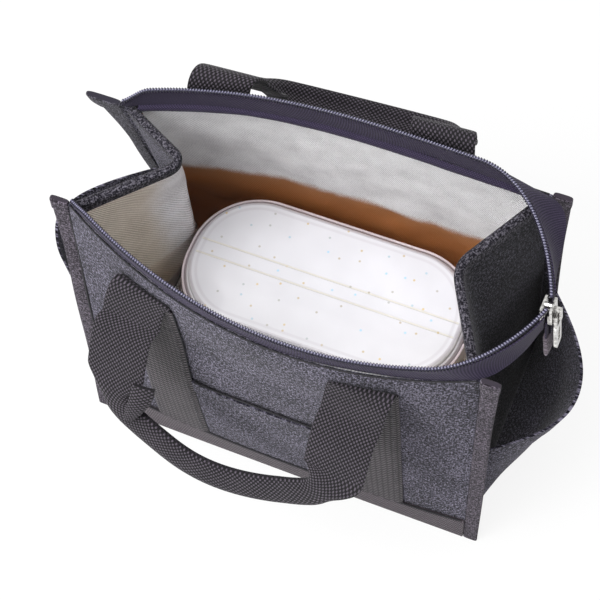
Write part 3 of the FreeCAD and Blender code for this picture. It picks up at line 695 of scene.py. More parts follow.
@dataclass(frozen=True)
class Foil(Finish):
    """Metallised film with a fine diagonal emboss and soft creases; its colour carries painted
    shade, highlights and reflections.

    Attributes:
        painted_reflection_reach: Strength of the painted warm reflection in the shade low in the
            lining, and how far it rises.
        metal: Share of metal in the surface.
        painted_beige_reflection: Strength of a painted beige reflection towards the front.
    """

    painted_reflection_reach: float
    metal: float = 0.45
    painted_beige_reflection: float = 0.0
    twill_pitch: float = 0.0017
    grain_pitch: float = 0.0011
    painted_reflection_level: float = 0.098

    def make(self, graph: Graph) -> bpy.types.Material:
        """Silver film with diagonal sines and painted shade of its creases; a painted warm
        reflection in the shade low in the lining where painted_reflection_reach asks for it, and a
        painted beige reflection towards the front where painted_beige_reflection asks for it.

        Args:
            graph: Graph to fill.

        Returns:
            Its material.
        """
        u, v, _ = graph.cloth
        _, y, z = graph.place
        twill = ((u + v * 0.75) * (CIRCLE / self.twill_pitch)).sine()
        grain = ((v - u * 0.3) * (CIRCLE / self.grain_pitch)).sine()
        crease = graph.cloth_noise(55.0, 4.0)
        speck = graph.noise(graph.vector(u * 1300.0, v * 1300.0), 1.0)
        # Colour of the film: painted shade and highlight of its creases and emboss lines, over a
        # fine random speck.
        shade = speck * 0.4 + crease * 0.45 + twill * 0.12
        silver = graph.ramp(shade, (0.2, tint(190, 188, 190)), (0.5, tint(254, 254, 255)))
        wobble = (crease - 0.5) * 0.008 + (speck - 0.5) * 0.006
        # Painted warm reflection in the shade low in the lining: a brown band up to a height set by
        # painted_reflection_level and painted_reflection_reach.
        deep = (z + wobble).step(self.painted_reflection_level + self.painted_reflection_reach * 0.025,
                                 self.painted_reflection_level + self.painted_reflection_reach * 0.016)
        warm = graph.ramp(z, (0.05, tint(168, 92, 10)), (0.1, tint(186, 106, 8)),
                          (0.117, tint(166, 102, 34)))
        # Painted beige reflection towards the front of the film.
        painted_beige_mask = (y + wobble).step(0.008, -0.008) * self.painted_beige_reflection
        beige = graph.mix(painted_beige_mask, silver, tint(232, 208, 160))
        colour = graph.mix(deep * min(1.0, self.painted_reflection_reach * 1.1), beige, warm)
        height = twill * 0.25 + grain * 0.2 + crease * 0.9
        return graph.finish(Base_Color=colour, Metallic=self.metal, Roughness=speck * 0.16 + 0.3,
                            Normal=graph.bump(height, 0.0011, 0.8))


@dataclass(frozen=True)
class Nickel(Finish):
    """Plated zip hardware with faint wear."""

    dull: Colour = tint(142, 140, 138)
    bright: Colour = tint(212, 211, 208)

    def make(self, graph: Graph) -> bpy.types.Material:
        """Bright metal; noise dulls and roughens it.

        Args:
            graph: Graph to fill.

        Returns:
            Its material.
        """
        wear = graph.place_noise(700.0, 3.0)
        colour = graph.ramp(wear, (0.35, self.dull), (0.6, self.bright))
        return graph.finish(Base_Color=colour, Metallic=1.0, Roughness=wear * 0.2 + 0.1,
                            Normal=graph.bump(wear, 0.00006))


@dataclass(frozen=True)
class Moulded(Finish):
    """Moulded plastic with a slight unevenness of tone and surface."""

    colour: Colour = tint(232, 232, 228)
    shade: Colour = tint(216, 216, 212)
    gloss: float = 0.3

    def make(self, graph: Graph) -> bpy.types.Material:
        """Slow noise tones it, fine noise roughens it.

        Args:
            graph: Graph to fill.

        Returns:
            Its material.
        """
        fine = graph.place_noise(1600.0)
        colour = graph.ramp(graph.place_noise(45.0), (0.3, self.shade), (0.7, self.colour))
        return graph.finish(Base_Color=colour, Roughness=fine * 0.12 + self.gloss,
                            Normal=graph.bump(fine, 0.00004))


@dataclass(frozen=True)
class LidPlastic(Finish):
    """Pale cover with scattered small dots, two faint mould lines and a tinted rim with painted
    shade along its edge and steps.
    """

    sizes: LidSizes = LID_SIZES
    dot_rate: float = 92.0
    line_offset: float = 0.0042
    top: Pair = (0.1030, 0.1045)

    def make(self, graph: Graph) -> bpy.types.Material:
        """Base tone, then mould lines, dots and the rim's painted shade over it.

        Args:
            graph: Graph to fill.

        Returns:
            Its material.
        """
        top = graph.place[2].step(*self.top)
        base = graph.ramp(graph.place_noise(30.0), (0.3, tint(202, 201, 206)),
                          (0.7, tint(211, 210, 215)))
        line = self._line(graph) * top
        lined = graph.mix(line * 0.45, base, tint(218, 210, 184))
        colour = self._rim(graph, self._dots(graph, lined, top))
        fine = graph.place_noise(1500.0)
        return graph.finish(Base_Color=colour, Roughness=fine * 0.1 + 0.2, Coat_Weight=0.25,
                            Normal=graph.bump(line * -1.0 + fine * 0.1, 0.0003))

    def _line(self, graph: Graph) -> Value:
        """Two mould lines along the cover, on either side of its middle.

        Args:
            graph: Graph of the material.

        Returns:
            1 on the lines, else 0.
        """
        x, y, _ = graph.place
        middle_x, middle_y = self.sizes.centre
        off = abs(abs(y - middle_y * MM) - self.line_offset)
        return off.step(0.0007, 0.0003) * abs(x - middle_x * MM).step(0.0735, 0.0725)

    def _dots(self, graph: Graph, ground: Value, top: Value) -> Value:
        """Dots at the middles of irregular cells; each cell's own number picks its colour.

        Args:
            graph: Graph of the material.
            ground: Colour below the dots.
            top: 1 on the cover's top, else 0.

        Returns:
            The colour with dots.
        """
        x, y, _ = graph.place
        cells = {"Vector": graph.vector(x, y), "Scale": self.dot_rate}
        near, own = (graph.node("ShaderNodeTexVoronoi", cells, out=out, voronoi_dimensions="2D")
                     for out in ("Distance", "Color"))
        pick = graph.split(own)[0]
        dot = near.step(0.075, 0.045) * top * pick.step(0.3, 0.32)
        hue = graph.ramp(pick, (0.3, tint(206, 176, 104)), (0.6, tint(168, 160, 146)),
                         (0.9, tint(150, 196, 220)))
        return graph.mix(dot * 0.8, ground, hue)

    def _rim(self, graph: Graph, ground: Value) -> Value:
        """Painted shade on the rim: a dark line along the outer edge where the lid turns down, and
        two faint lines that run round inside it where it steps.

        Args:
            graph: Graph of the material.
            ground: Colour below them.

        Returns:
            The colour with the rim.
        """
        inside = self._inside(graph)
        # Painted shade in the rim's pinkish tint: the edge line, then the step lines.
        edge = inside.step(0.0022, 0.0012)
        step = abs(inside - 0.0042).step(0.0010, 0.0004)
        inner = abs(inside - 0.0072).step(0.0012, 0.0003)
        edged = graph.mix(edge * 0.8, ground, tint(112, 98, 103))
        stepped = graph.mix(step * 0.4, edged, tint(146, 134, 144))
        return graph.mix(inner * 0.25, stepped, tint(170, 162, 170))

    def _inside(self, graph: Graph) -> Value:
        """Distance inwards from the outline, a rectangle with round corners.

        Args:
            graph: Graph of the material.

        Returns:
            The distance in metres, right in the corners and near the edges.
        """
        past = []
        for value, middle, half in zip(graph.place, self.sizes.centre, self.sizes.half):
            over = abs(value - middle * MM) - (half - self.sizes.corner) * MM
            past.append((over + abs(over)) * 0.5)
        return self.sizes.corner * MM - (past[0] * past[0] + past[1] * past[1]).root()


@dataclass(frozen=True)
class Thread(Finish):
    """Twisted sewing thread or cord."""

    colour: Colour
    glint: Colour
    rough: float = 0.5

    def make(self, graph: Graph) -> bpy.types.Material:
        """Fine noise for the fibre.

        Args:
            graph: Graph to fill.

        Returns:
            Its material.
        """
        fibre = graph.place_noise(2600.0)
        colour = graph.ramp(fibre, (0.35, self.colour), (0.7, self.glint))
        return graph.finish(Base_Color=colour, Roughness=fibre * 0.2 + self.rough,
                            Normal=graph.bump(fibre, 0.00008))


@dataclass(frozen=True)
class Coil(Finish):
    """Nylon zip coil: dark wire with a painted highlight on the crown of each turn."""

    wire: Colour = tint(18, 15, 33)
    painted_glint: Colour = tint(136, 134, 158)

    def make(self, graph: Graph) -> bpy.types.Material:
        """The cloth coordinate counts turns; a sine of it picks out the crowns for the painted
        highlight.

        Args:
            graph: Graph to fill.

        Returns:
            Its material.
        """
        _, turns, _ = graph.cloth
        fibre = graph.place_noise(2600.0, 1.0)
        # Mask of the painted highlight on each turn's crown.
        crown = (turns * (CIRCLE / MM)).sine().step(0.8, 0.98)
        return graph.finish(Base_Color=graph.mix(crown, self.wire, self.painted_glint),
                            Roughness=fibre * 0.2 + 0.25, Normal=graph.bump(fibre, 0.00005))


OUTER = Heather("outer_cloth", "outer_cloth")
BINDING = Heather("seam_binding", "seam_binding", dark=tint(28, 24, 29),
                  middle=tint(56, 51, 59), light=tint(108, 100, 112))
# The outer cloth painted darker for the right end's folded walls, which lie in shade: painted
# shade.
SHADED_CLOTH = Heather("painted_shade_cloth", "outer_cloth", dark=tint(7, 7, 9),
                middle=tint(27, 26, 32), light=tint(88, 86, 96))
FIN = Heather("fin_binding", "seam_binding", dark=tint(18, 17, 22),
              middle=tint(46, 44, 52), light=tint(104, 101, 112))
EDGE = Heather("edge_binding", "seam_binding", dark=tint(18, 17, 21),
               middle=tint(42, 40, 47), light=tint(100, 97, 106))
TAB = Heather("end_tab_cloth", "end_tab_cloth", dark=tint(66, 60, 66),
              middle=tint(100, 92, 100), light=tint(146, 136, 146))
BAND = Webbing("band_webbing", "band_webbing", dark=tint(62, 56, 61),
               light=tint(114, 105, 113), pitch=0.0007, rib=0.4)
STRAP = Webbing("strap_webbing", "strap_webbing")
# The handles' strap webbing with its own weave, painted lighter for the sheen that the sewn straps
# show: painted highlight.
PAINTED_SHEEN_STRAP = Webbing("painted_sheen_webbing", "strap_webbing", dark=tint(14, 12, 15),
               light=tint(104, 97, 103), pitch=0.0014, rib=1.0, cross=0.45, relief=0.0004)
TAPE = Webbing("zip_tape", "zip_tape", dark=tint(34, 29, 46),
               light=tint(70, 61, 88), pitch=0.0007, rib=1.0, relief=0.0001)
COIL = Coil("zip_coil", "zip_teeth")
CORE = Thread("zip_cord", "zip_teeth", colour=tint(30, 27, 48), glint=tint(52, 48, 76))
STITCH = Thread("stitch_thread", "outer_cloth", colour=tint(34, 33, 38), glint=tint(70, 68, 76))
# Near-black cords laid in seams, gaps and along edges where shade falls: painted shade.
SHADE_CORD = Thread("seam_line", "outer_cloth", colour=tint(14, 13, 17), glint=tint(34, 33, 38),
              rough=0.7)
# One lining film in three copies, which differ in their painted warm and beige reflections and in
# metal.
FOIL_FRONT = Foil("foil_front", "foil_lining", painted_reflection_reach=0.15)
FOIL_BACK = Foil("foil_back", "foil_lining", painted_reflection_reach=0.85, metal=0.2)
FOIL_END = Foil("foil_end", "foil_lining", painted_reflection_reach=0.1, metal=0.85, painted_beige_reflection=0.4)
NICKEL = Nickel("zip_metal", "zip_metal")
LID = LidPlastic("lid_plastic", "lid_plastic")
RIM = Moulded("lid_rim", "lid_plastic", colour=tint(208, 196, 200), shade=tint(188, 176, 180))
TRAY = Moulded("tray_plastic", "tray_plastic")
SEAL = Moulded("seal_plastic", "seal_plastic", colour=tint(236, 234, 226),
               shade=tint(222, 220, 210))
STICK = Moulded("stick_plastic", "stick_plastic", colour=tint(232, 224, 198),
                shade=tint(214, 204, 176))
BOARD = Moulded("base_board", "base_board", colour=tint(120, 120, 120),
                shade=tint(100, 100, 100), gloss=0.5)
CAD_FINISHES: dict[str, Finish] = {
    "zip_slider": NICKEL,
    "zip_pull": NICKEL,
    "lunch_lid": LID,
    "lower_tray": TRAY,
    "upper_tray": TRAY,
    "lower_seal": SEAL,
    "upper_seal": SEAL,
    "front_chopstick": STICK,
    "back_chopstick": STICK,
    "base_board": BOARD,
}


def publish(name: str, solid: Solid, finish: Finish, nodes: Sequence[str] = (),
            body: str | None = "bag") -> bpy.types.Object:
    """Makes a piece of the object.

    Args:
        name: Name of the piece.
        solid: Its closed mesh.
        finish: Its finish.
        nodes: CAD nodes that it stands for.
        body: CAD body that it moves with, or None where it bends between two.

    Returns:
        The new object.
    """
    mesh = solid.mesh(name)
    mesh.materials.append(finish.material())
    piece = bpy.data.objects.new(name, mesh)
    bpy.context.scene.collection.objects.link(piece)
    if body:
        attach(piece, body)
    if nodes:
        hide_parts(*nodes)
    LOG.info("%s: %d points, %d faces", name, len(mesh.vertices), len(mesh.polygons))
    return piece


def stitches(line: Array, outward: Array, pitch: float = 3.4, length: float = 2.4,
             radius: float = 0.32) -> Solid:
    """Row of short raised stitches along a line: a six-sided profile that swells and thins again.

    Args:
        line: Points of the line, (n, 3).
        outward: Direction off the cloth at each point, (n, 3).
        pitch: Distance from one stitch to the next.
        length: Length of a stitch.
        radius: Half of its thickness.

    Returns:
        All stitches of the row, as small spindles.
    """
    run = running(line)
    at = np.arange(pitch / 2, run[-1], pitch)
    centre = resample(at, run, line)
    off = unit(resample(at, run, outward))
    along = resample(at, run, np.gradient(line, axis=0))
    along = unit(along - off * (along * off).sum(-1, keepdims=True))
    across = np.cross(off, along)
    share = np.linspace(-1, 1, 7)
    body = np.sqrt(np.clip(1 - share ** 2 * 0.96, 0, 1)) * radius
    profile = rounded_profile(2.0, 2.0, 6, ROUND) * body[:, None, None]
    still = (len(share), 1)
    return Solid.joined([
        sweep(c + share[:, None] * (a * length / 2), np.tile(s, still), np.tile(o, still), profile)
        for c, a, s, o in zip(centre, along, across, off)])


# ---- carrier

@dataclass(frozen=True)
class Wall:
    """Long wall of the carrier: straight at its foot, a cubic curve at its lip, with a soft swell.

    Attributes:
        side: Which long wall it is.
        lips: Poles of the lip's distance from the middle.
        swell: How far it stands out in the middle.
        roll: How far its lip rolls outwards.
        seed: Seed of its waves.
        roll_from: Height at which the roll starts.
    """

    side: Side
    lips: tuple[float, float, float, float]
    swell: float
    roll: float
    seed: int
    roll_from: float = 135.0
    wave_length: float = 90.0
    wave_height: float = 1.1

    @property
    def name(self) -> str:
        """front or back."""
        return self.side.name.lower()

    def lip(self, x: Array) -> Array:
        """Distance of the lip from the middle: a cubic curve over the carrier's length."""
        t = (np.asarray(x, float) + BAG.half_length) / (2 * BAG.half_length)
        return bezier(self.lips, t)

    def sag(self, x: Array, z: Array) -> Array:
        """Outward swell: a product of sines, none at the seams, with soft waves between them.

        Args:
            x: Places along the wall.
            z: Heights.

        Returns:
            Millimetres outwards.
        """
        t = np.clip((x + BAG.half_length) / (2 * BAG.half_length), 0, 1)
        share = np.clip(z / BAG.height, 0, 1)
        held = (np.sin(math.pi * t) * np.sin(math.pi * share)) ** 0.6
        turned = self.roll * smooth(self.roll_from, BAG.height, z) * np.sin(math.pi * t) ** 0.8
        waves = ripples(x / self.wave_length, z / self.wave_length, self.seed)
        return held * (self.swell + self.wave_height * waves) + turned

    def face(self, x: Array, z: Array, inset: Any = 0.0) -> Array:
        """Points of the wall: its foot and its lip joined by straight lines, plus the swell.

        Args:
            x: Places along the wall.
            z: Heights.
            inset: Distance inwards from its outer face.

        Returns:
            Points, with the shape of x and z together.
        """
        x, z = np.broadcast_arrays(np.asarray(x, float), np.asarray(z, float))
        depth = lerp(BAG.half_depth, self.lip(x), z / BAG.height) + self.sag(x, z) - inset
        return np.stack([x, self.side.value * depth, z], -1)

    def outward(self, count: int) -> Array:
        """Direction off the wall, once for each of some points."""
        return np.tile([0.0, float(self.side.value), 0.0], (count, 1))

    def patch(self, x_range: Pair, z_range: Pair, near: Inset, far: Inset,
              steps: tuple[int, int], foot: Pair | None = None) -> Solid:
        """Closed layer of cloth on the wall.

        Args:
            x_range: Its two ends at the lip.
            z_range: Its lower and upper edge.
            near: Inset of its outer face, or a function of x and z.
            far: Inset of its inner face, or a function of x and z.
            steps: Points along and up.
            foot: Its two ends at the foot of the wall, where they differ.

        Returns:
            The layer.
        """
        share, z = np.meshgrid(np.linspace(0, 1, steps[0]), np.linspace(*z_range, steps[1]),
                               indexing="ij")
        start, end = (lerp(low, high, z / BAG.height)
                      for low, high in zip(foot or x_range, x_range))
        x = lerp(start, end, share)
        return slab(*(self.face(x, z, inset(x, z) if callable(inset) else inset)
                      for inset in (near, far)))

    def cord(self, x: Array, z: Array, stand: float, width: float, thick: float) -> Solid:
        """Dark cord of painted shade along a line on the wall, where a seam or edge shades the
        cloth: an ellipse carried along it.

        Args:
            x: Places along the wall.
            z: Heights.
            stand: Distance outwards from the wall.
            width: Width of the cord.
            thick: Its thickness.

        Returns:
            The cord.
        """
        line = self.face(x, z, -stand)
        deep = self.outward(len(line))
        wide = unit(np.cross(unit(np.gradient(line, axis=0)), deep))
        return sweep(line, wide, deep, rounded_profile(width, thick, 10, ROUND))

    def row(self, x: Array, z: Array, stand: float) -> Solid:
        """Row of stitches on the wall's outer side."""
        line = self.face(x, z, -stand)
        return stitches(line, self.outward(len(line)))


FRONT = Wall(Side.FRONT, lips=(29.9, 66.8, 76.1, 47.3), swell=2.2, roll=2.6, seed=11)
BACK = Wall(Side.BACK, lips=(30.9, 66.0, 55.5, 54.5), swell=1.6, roll=0.0, seed=23)


@dataclass(frozen=True)
class WallPieces:
    """Cloth, lining, base band, corner seams and sewn straps of one long wall.

    Attributes:
        wall: The wall.
        strap_shift: Shift of both straps along the wall.
        foil: Finish of the lining.
        flares: How much the left and right corner seams widen towards the top.
        tab: Extra width of the left corner seam's folded end.
        left_binding: Finish of the left corner seam.
    """

    wall: Wall
    strap_shift: float
    foil: Foil
    flares: Pair
    tab: float
    left_binding: Heather
    lining_ends: Pair = (-98.7, 106.0)
    lining_foot_ends: Pair = (-107.0, 107.0)
    strap_rows: Pair = (148.0, 166.0)
    crease_lengths: Pair = (60.0, 45.0)
    crease_height: float = 0.75
    seam_foot: float = 0.2
    seam_fold: float = 180.0
    seam_top: float = 189.4
    seam_size: Pair = (7.9, 2.3)
    seam_out: float = 4.1
    seam_points: int = 90

    def build(self) -> None:
        """Makes every piece of the wall."""
        name = self.wall.name
        cloth = publish(f"{name}_wall_cloth", self.wall.patch(
            (-BAG.half_length, BAG.half_length), (BAG.cloth_foot, BAG.height), 0.0, BAG.cloth,
            (150, 110)), OUTER, [f"{name}_panel"])
        lining = publish(f"{name}_wall_foil", self.wall.patch(
            self.lining_ends, (BAG.lining_foot, BAG.lining_top), BAG.cloth + BAG.gap, self._quilt,
            (170, 130), self.lining_foot_ends), self.foil, [f"{name}_lining"])
        self._band()
        for end in End:
            self._corner(end)
            self._strap(end)

    def _quilt(self, x: Array, z: Array) -> Array:
        """Inner face of the lining: its thickness and soft creases, which fade at both edges.

        Args:
            x: Places along the wall.
            z: Heights.

        Returns:
            Insets from the wall's outer face.
        """
        along, up = self.crease_lengths
        crease = ripples(x / along, z / up, self.wall.seed + 5, 18, 0.5, 3.0)
        fade = smooth(BAG.lining_top, 170.0, z) * smooth(4.0, 20.0, z)
        return BAG.layers + BAG.gap + self.crease_height * crease * fade

    @staticmethod
    def _band_face(_: Array, z: Array) -> Array:
        """Outer face of the band as an inset, rounded off at both edges."""
        edge = smooth(0.0, 1.2, z) * smooth(BAG.band_height, BAG.band_height - 1.2, z)
        return -BAG.gap - BAG.band_thick * (0.4 + 0.6 * edge)

    def _band(self) -> None:
        """Wide woven band along the foot, and dark cords of painted shade in the seams over it and
        under the lip.
        """
        name = self.wall.name
        band = publish(f"{name}_band", self.wall.patch(
            (-BAG.half_length, BAG.half_length), (0.05, BAG.band_height), self._band_face,
            -BAG.gap, (140, 26)), BAND, [f"{name}_base_band"])
        x = np.linspace(-BAG.half_length + 2, BAG.half_length - 2, 120)
        # Dark cords of painted shade in the seam over the band and under the lip.
        line = self.wall.cord(x, np.full_like(x, BAG.band_height + 0.4), 1.45, 1.3, 1.1)
        top = self.wall.cord(x, np.full_like(x, BAG.height + 0.1), -0.3, 0.9, 0.9)
        publish(f"{name}_seam_lines", Solid.joined([line, top]), SHADE_CORD)

    def _corner(self, end: End) -> None:
        """Bound seam at an upright corner: a flat profile carried up it, thicker at its folded end.

        Args:
            end: Which end of the wall.
        """
        name = f"{self.wall.name}_{end.name.lower()}"
        z = np.concatenate([np.linspace(self.seam_foot, self.seam_fold, self.seam_points),
                            np.linspace(self.seam_fold + 1, self.seam_top, 14)])
        x = np.full_like(z, end.value * BAG.half_length)
        line = self.wall.face(x, z, BAG.cloth / 2)
        flare = smooth(135, 192, z) * self.flares[end is End.RIGHT]
        flare += smooth(178, 181, z) * self.tab * (end is End.LEFT)
        line[:, 0] += end.value * (self.seam_out + flare / 2)
        line[:, 1] += 0.5 * np.sin(z / 17 + self.wall.seed) + self.wall.side.value * 0.25
        lip = smooth(180.5, 182.0, z) * smooth(189.8, 188.2, z)
        width, thick = self.seam_size
        profile = rounded_profile(width + flare + 0.8 * lip, thick + 1.3 * lip, 28, 4.0)
        wide, deep = frames(line, np.tile([float(end.value), 0.0, 0.0], (len(z), 1)))
        finish = self.left_binding if end is End.LEFT else BINDING
        publish(f"{name}_corner_binding", sweep(line, wide, deep, profile), finish,
                [f"{name}_corner_seam"])
        # Along the left binding, a dark cord of painted shade where it meets the wall.
        if end is End.LEFT:
            low = slice(2, self.seam_points)
            outward = self.wall.side.value * np.array([0.0, 0.55, 0.0])
            seam = line[low] - wide[low] * 4.3 + outward
            publish(f"{name}_corner_line", sweep(seam, wide[low], deep[low],
                                                 rounded_profile(1.2, 1.2, 10, ROUND)), SHADE_CORD)

    @staticmethod
    def _strap_face(middle: float, x: Array, _: Array) -> Array:
        """Outer face of a strap as an inset, rounded off at both sides."""
        edge = np.clip(1 - np.abs((x - middle) / (BAG.strap_width / 2)) ** 10, 0.02, 1) ** 0.5
        return -BAG.gap - BAG.strap_thick * (0.35 + 0.65 * edge)

    def _strap(self, end: End) -> None:
        """Webbing sewn up the wall, painted lighter for its sheen, its stitches and a dark cord of
        painted shade along its inner side.

        Args:
            end: Which end of the wall.
        """
        name = f"{self.wall.name}_{end.name.lower()}"
        middle = self.strap_shift + end.value * BAG.strap_spread / 2
        half = BAG.strap_width / 2
        stand = BAG.gap + BAG.strap_thick
        strap = publish(f"{name}_sewn_strap", self.wall.patch(
            (middle - half, middle + half), (BAG.band_height + 0.2, BAG.strap_top),
            partial(self._strap_face, middle), -BAG.gap, (30, 90)), PAINTED_SHEEN_STRAP, [f"{name}_strap"])
        f"{self.wall.name}_panel"
        z = np.linspace(BAG.band_height + 4, BAG.strap_top - 3, 90)
        rows = [self.wall.row(np.full_like(z, middle + hand * (half - 3)), z, stand)
                for hand in (-1, 1)]
        x = np.linspace(middle - half + 3, middle + half - 3, 16)
        rows += [self.wall.row(x, np.full_like(x, level), stand) for level in self.strap_rows]
        publish(f"{name}_strap_stitches", Solid.joined(rows), STITCH)
        # Dark cord of painted shade along the strap's inner side.
        z = np.linspace(BAG.band_height + 1, BAG.strap_top - 1, 90)
        inner_side = np.full_like(z, middle - end.value * (half + 0.35))
        publish(f"{name}_strap_line", self.wall.cord(inner_side, z, 1.15, 0.8, 0.8), SHADE_CORD)


@dataclass(frozen=True)
class Gusset:
    """Short wall, folded inwards at the middle, more so towards the mouth.

    Attributes:
        end: Which short wall it is.
        reach: How far its fold stands inwards at the top.
        back: How far its fold stands towards the back at the top.
        bow: How far both halves bow outwards.
        upright: Share of the height from which the fold is upright below.
        sway: How far the upright part sways towards the back.
        cloth: Finish of its cloth.
        seed: Seed of its waves.
    """

    end: End
    reach: float
    back: float
    bow: float
    upright: float
    sway: float
    cloth: Heather
    seed: int
    fold_share: float = 0.07
    upright_from: Pair = (0.2, 0.55)
    upright_ease: float = 0.0025
    sway_fade: Pair = (1.0, 0.76)
    wave_height: float = 0.8
    binding_stop: float = 2.4
    shares: ClassVar[Array] = np.linspace(0, 1, 181)
    steps: ClassVar[Array] = np.linspace(0, 1, 121)
    section: ClassVar[Array] = np.array([
        (-0.55, 182.2), (-0.65, 185.0), (-0.55, 186.8), (-0.2, 187.6), (0.6, 188.1),
        (1.8, 188.3), (3.0, 188.1), (3.8, 187.6), (4.15, 186.8), (4.25, 185.0),
        (4.15, 182.2), (3.75, 182.2), (3.75, 187.1), (-0.15, 187.1), (-0.15, 182.2)])

    @property
    def name(self) -> str:
        """left or right."""
        return self.end.name.lower()

    def chain(self, z: Array, inset: float, stop: float) -> Array:
        """Points of the gusset: its plan at each height, moved inwards and bowed outwards.

        Args:
            z: Heights.
            inset: Distance inwards from the outer face.
            stop: Distance at which it ends before each long wall.

        Returns:
            Points, (steps from front to back, heights, 3).
        """
        plan = self._plan(*self._posts(z, stop))
        inward = self.end.value * beside(unit(np.gradient(plan[..., :2], axis=0)))
        plan = plan + inward * (self._slack(z) + inset)[..., None]
        last = len(self.shares) - 1
        return plan[np.round(self.steps * last).astype(int)]

    def _posts(self, level: Array, stop: float) -> tuple[Array, Array, Array]:
        """Front end, fold and back end at each height; the fold leans in, or stands upright.

        Args:
            level: Heights.
            stop: Distance at which the gusset ends before each long wall.

        Returns:
            Three lines of points.
        """
        share = level / BAG.height
        sign = self.end.value
        corner = np.full_like(level, sign * BAG.half_length)
        low = smooth(*self.upright_from, share)
        spare = self.upright - share
        full = share + low * (spare + np.sqrt(spare ** 2 + self.upright_ease)) / 2
        sway = self.sway * low * smooth(*self.sway_fade, share)
        tip = np.stack([sign * (BAG.half_length - self.reach * full), self.back * share + sway,
                        level], -1)
        front, back = FRONT.face(corner, level), BACK.face(corner, level)
        front = front + (tip - front) * (stop / (tip - front)[:, 1:2])
        back = back + (tip - back) * (-stop / (tip - back)[:, 1:2])
        return front, tip, back

    def _plan(self, front: Array, tip: Array, back: Array) -> Array:
        """Two straight halves joined by a round fold, a parabola about its tip.

        Args:
            front: Front ends.
            tip: Tips of the fold.
            back: Back ends.

        Returns:
            Points, (shares from front to back, heights, 3).
        """
        fine = self.shares[:, None, None]
        turn = self.fold_share
        a, b = lerp(front, tip, 1 - turn * 2), lerp(tip, back, turn * 2)
        straight = np.where(fine < 0.5 - turn, lerp(front, a, fine / (0.5 - turn)),
                            lerp(b, back, (fine - 0.5 - turn) / (0.5 - turn)))
        t = (fine - 0.5 + turn) / (2 * turn)
        fold = (1 - t) ** 2 * a + 2 * t * (1 - t) * tip + t ** 2 * b
        return np.where(np.abs(fine - 0.5) < turn, fold, straight)

    def _slack(self, level: Array) -> Array:
        """Bow and waves of both halves: sines over the width and the height.

        Args:
            level: Heights.

        Returns:
            Millimetres inwards, (shares from front to back, heights).
        """
        share = level / BAG.height
        fine = self.shares[:, None]
        half = np.abs(np.sin(CIRCLE * fine))
        tall = np.sin(math.pi * np.clip(share, 0, 1) ** 0.8)[None]
        held = np.clip(np.sin(math.pi * share), 0, 1)[None]
        wave = ripples(fine * 2.2, level[None] / 80, self.seed)
        return -half * (self.bow * tall + self.wave_height * wave * held)

    def layer(self, near: float, far: float, stop: float, foot: float) -> Solid:
        """Closed layer of cloth between two insets."""
        z = np.linspace(foot, BAG.lining_top, 90)
        return slab(self.chain(z, near, stop), self.chain(z, far, stop))

    def _binding(self) -> Solid:
        """Folded tape round the top edge: its section carried along the gusset.

        Returns:
            The tape; its cloth coordinates run round the section and along the edge.
        """
        count, rows = len(self.section), len(self.steps) - 1
        rings = np.stack([self.chain(np.array([z]), inset, self.binding_stop)[:, 0]
                          for inset, z in self.section], 1)
        still = np.zeros((len(self.steps), 3))
        binding = sweep(rings.mean(1), still, still, np.zeros((count, 2)))
        binding.points = rings.reshape(-1, 3)
        run = np.linspace(0, 110, len(self.steps))
        girth = np.concatenate([running(self.section), [34.0]])
        u = np.stack([girth[:-1], girth[1:], girth[1:], girth[:-1]], -1)
        v = np.stack([run[:-1], run[:-1], run[1:], run[1:]], -1)[:, None]
        shape = (rows, count, 4)
        both = np.stack([np.broadcast_to(u, shape), np.broadcast_to(v, shape)], -1)
        binding.corners[:rows * count * 4] = both.reshape(-1, 2)
        return binding

    def build(self) -> None:
        """Makes the cloth, the lining and the binding round the top edge."""
        cloth = publish(f"{self.name}_end_cloth", self.layer(0.0, BAG.cloth, 1.4, BAG.cloth_foot),
                        self.cloth, [f"{self.name}_gusset"])
        foil = publish(f"{self.name}_end_foil", self.layer(
            BAG.cloth + BAG.gap, BAG.layers, BAG.layers + BAG.gap, BAG.lining_foot), FOIL_END,
            [f"{self.name}_gusset_lining"])
        edge = publish(f"{self.name}_end_binding", self._binding(), EDGE,
                       [f"{self.name}_gusset_binding"])
        f"{self.name}_gusset_lining"
        f"{self.name}_gusset"
        for piece in (cloth, foil, edge):
            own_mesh(piece)


@dataclass(frozen=True)
class BaseSheet:
    """Sheet of the base: the cloth under the board, or the film over it.

    Attributes:
        name: Name of the piece.
        node: CAD node that it stands for.
        half: Half of its length and depth.
        low: Height of its underside.
        high: Height of its upper side.
        finish: Its finish.
        rough: Depth of its waves.
    """

    name: str
    node: str
    half: Pair
    low: float
    high: float
    finish: Finish
    rough: float = 0.0
    wave_length: float = 50.0
    seed: int = 5

    def build(self) -> None:
        """Makes the sheet, flat below and slightly wavy above."""
        half = self.half
        x, y = np.meshgrid(np.linspace(-half[0], half[0], 70), np.linspace(-half[1], half[1], 40),
                           indexing="ij")
        waves = ripples(x / self.wave_length, y / self.wave_length, self.seed)
        wave = self.rough * (waves - 1.0)
        top = np.stack([x, y, self.high + np.minimum(wave, 0)], -1)
        bottom = np.stack([x, y, np.full_like(x, self.low)], -1)
        piece = publish(self.name, slab(top, bottom), self.finish, [self.node])


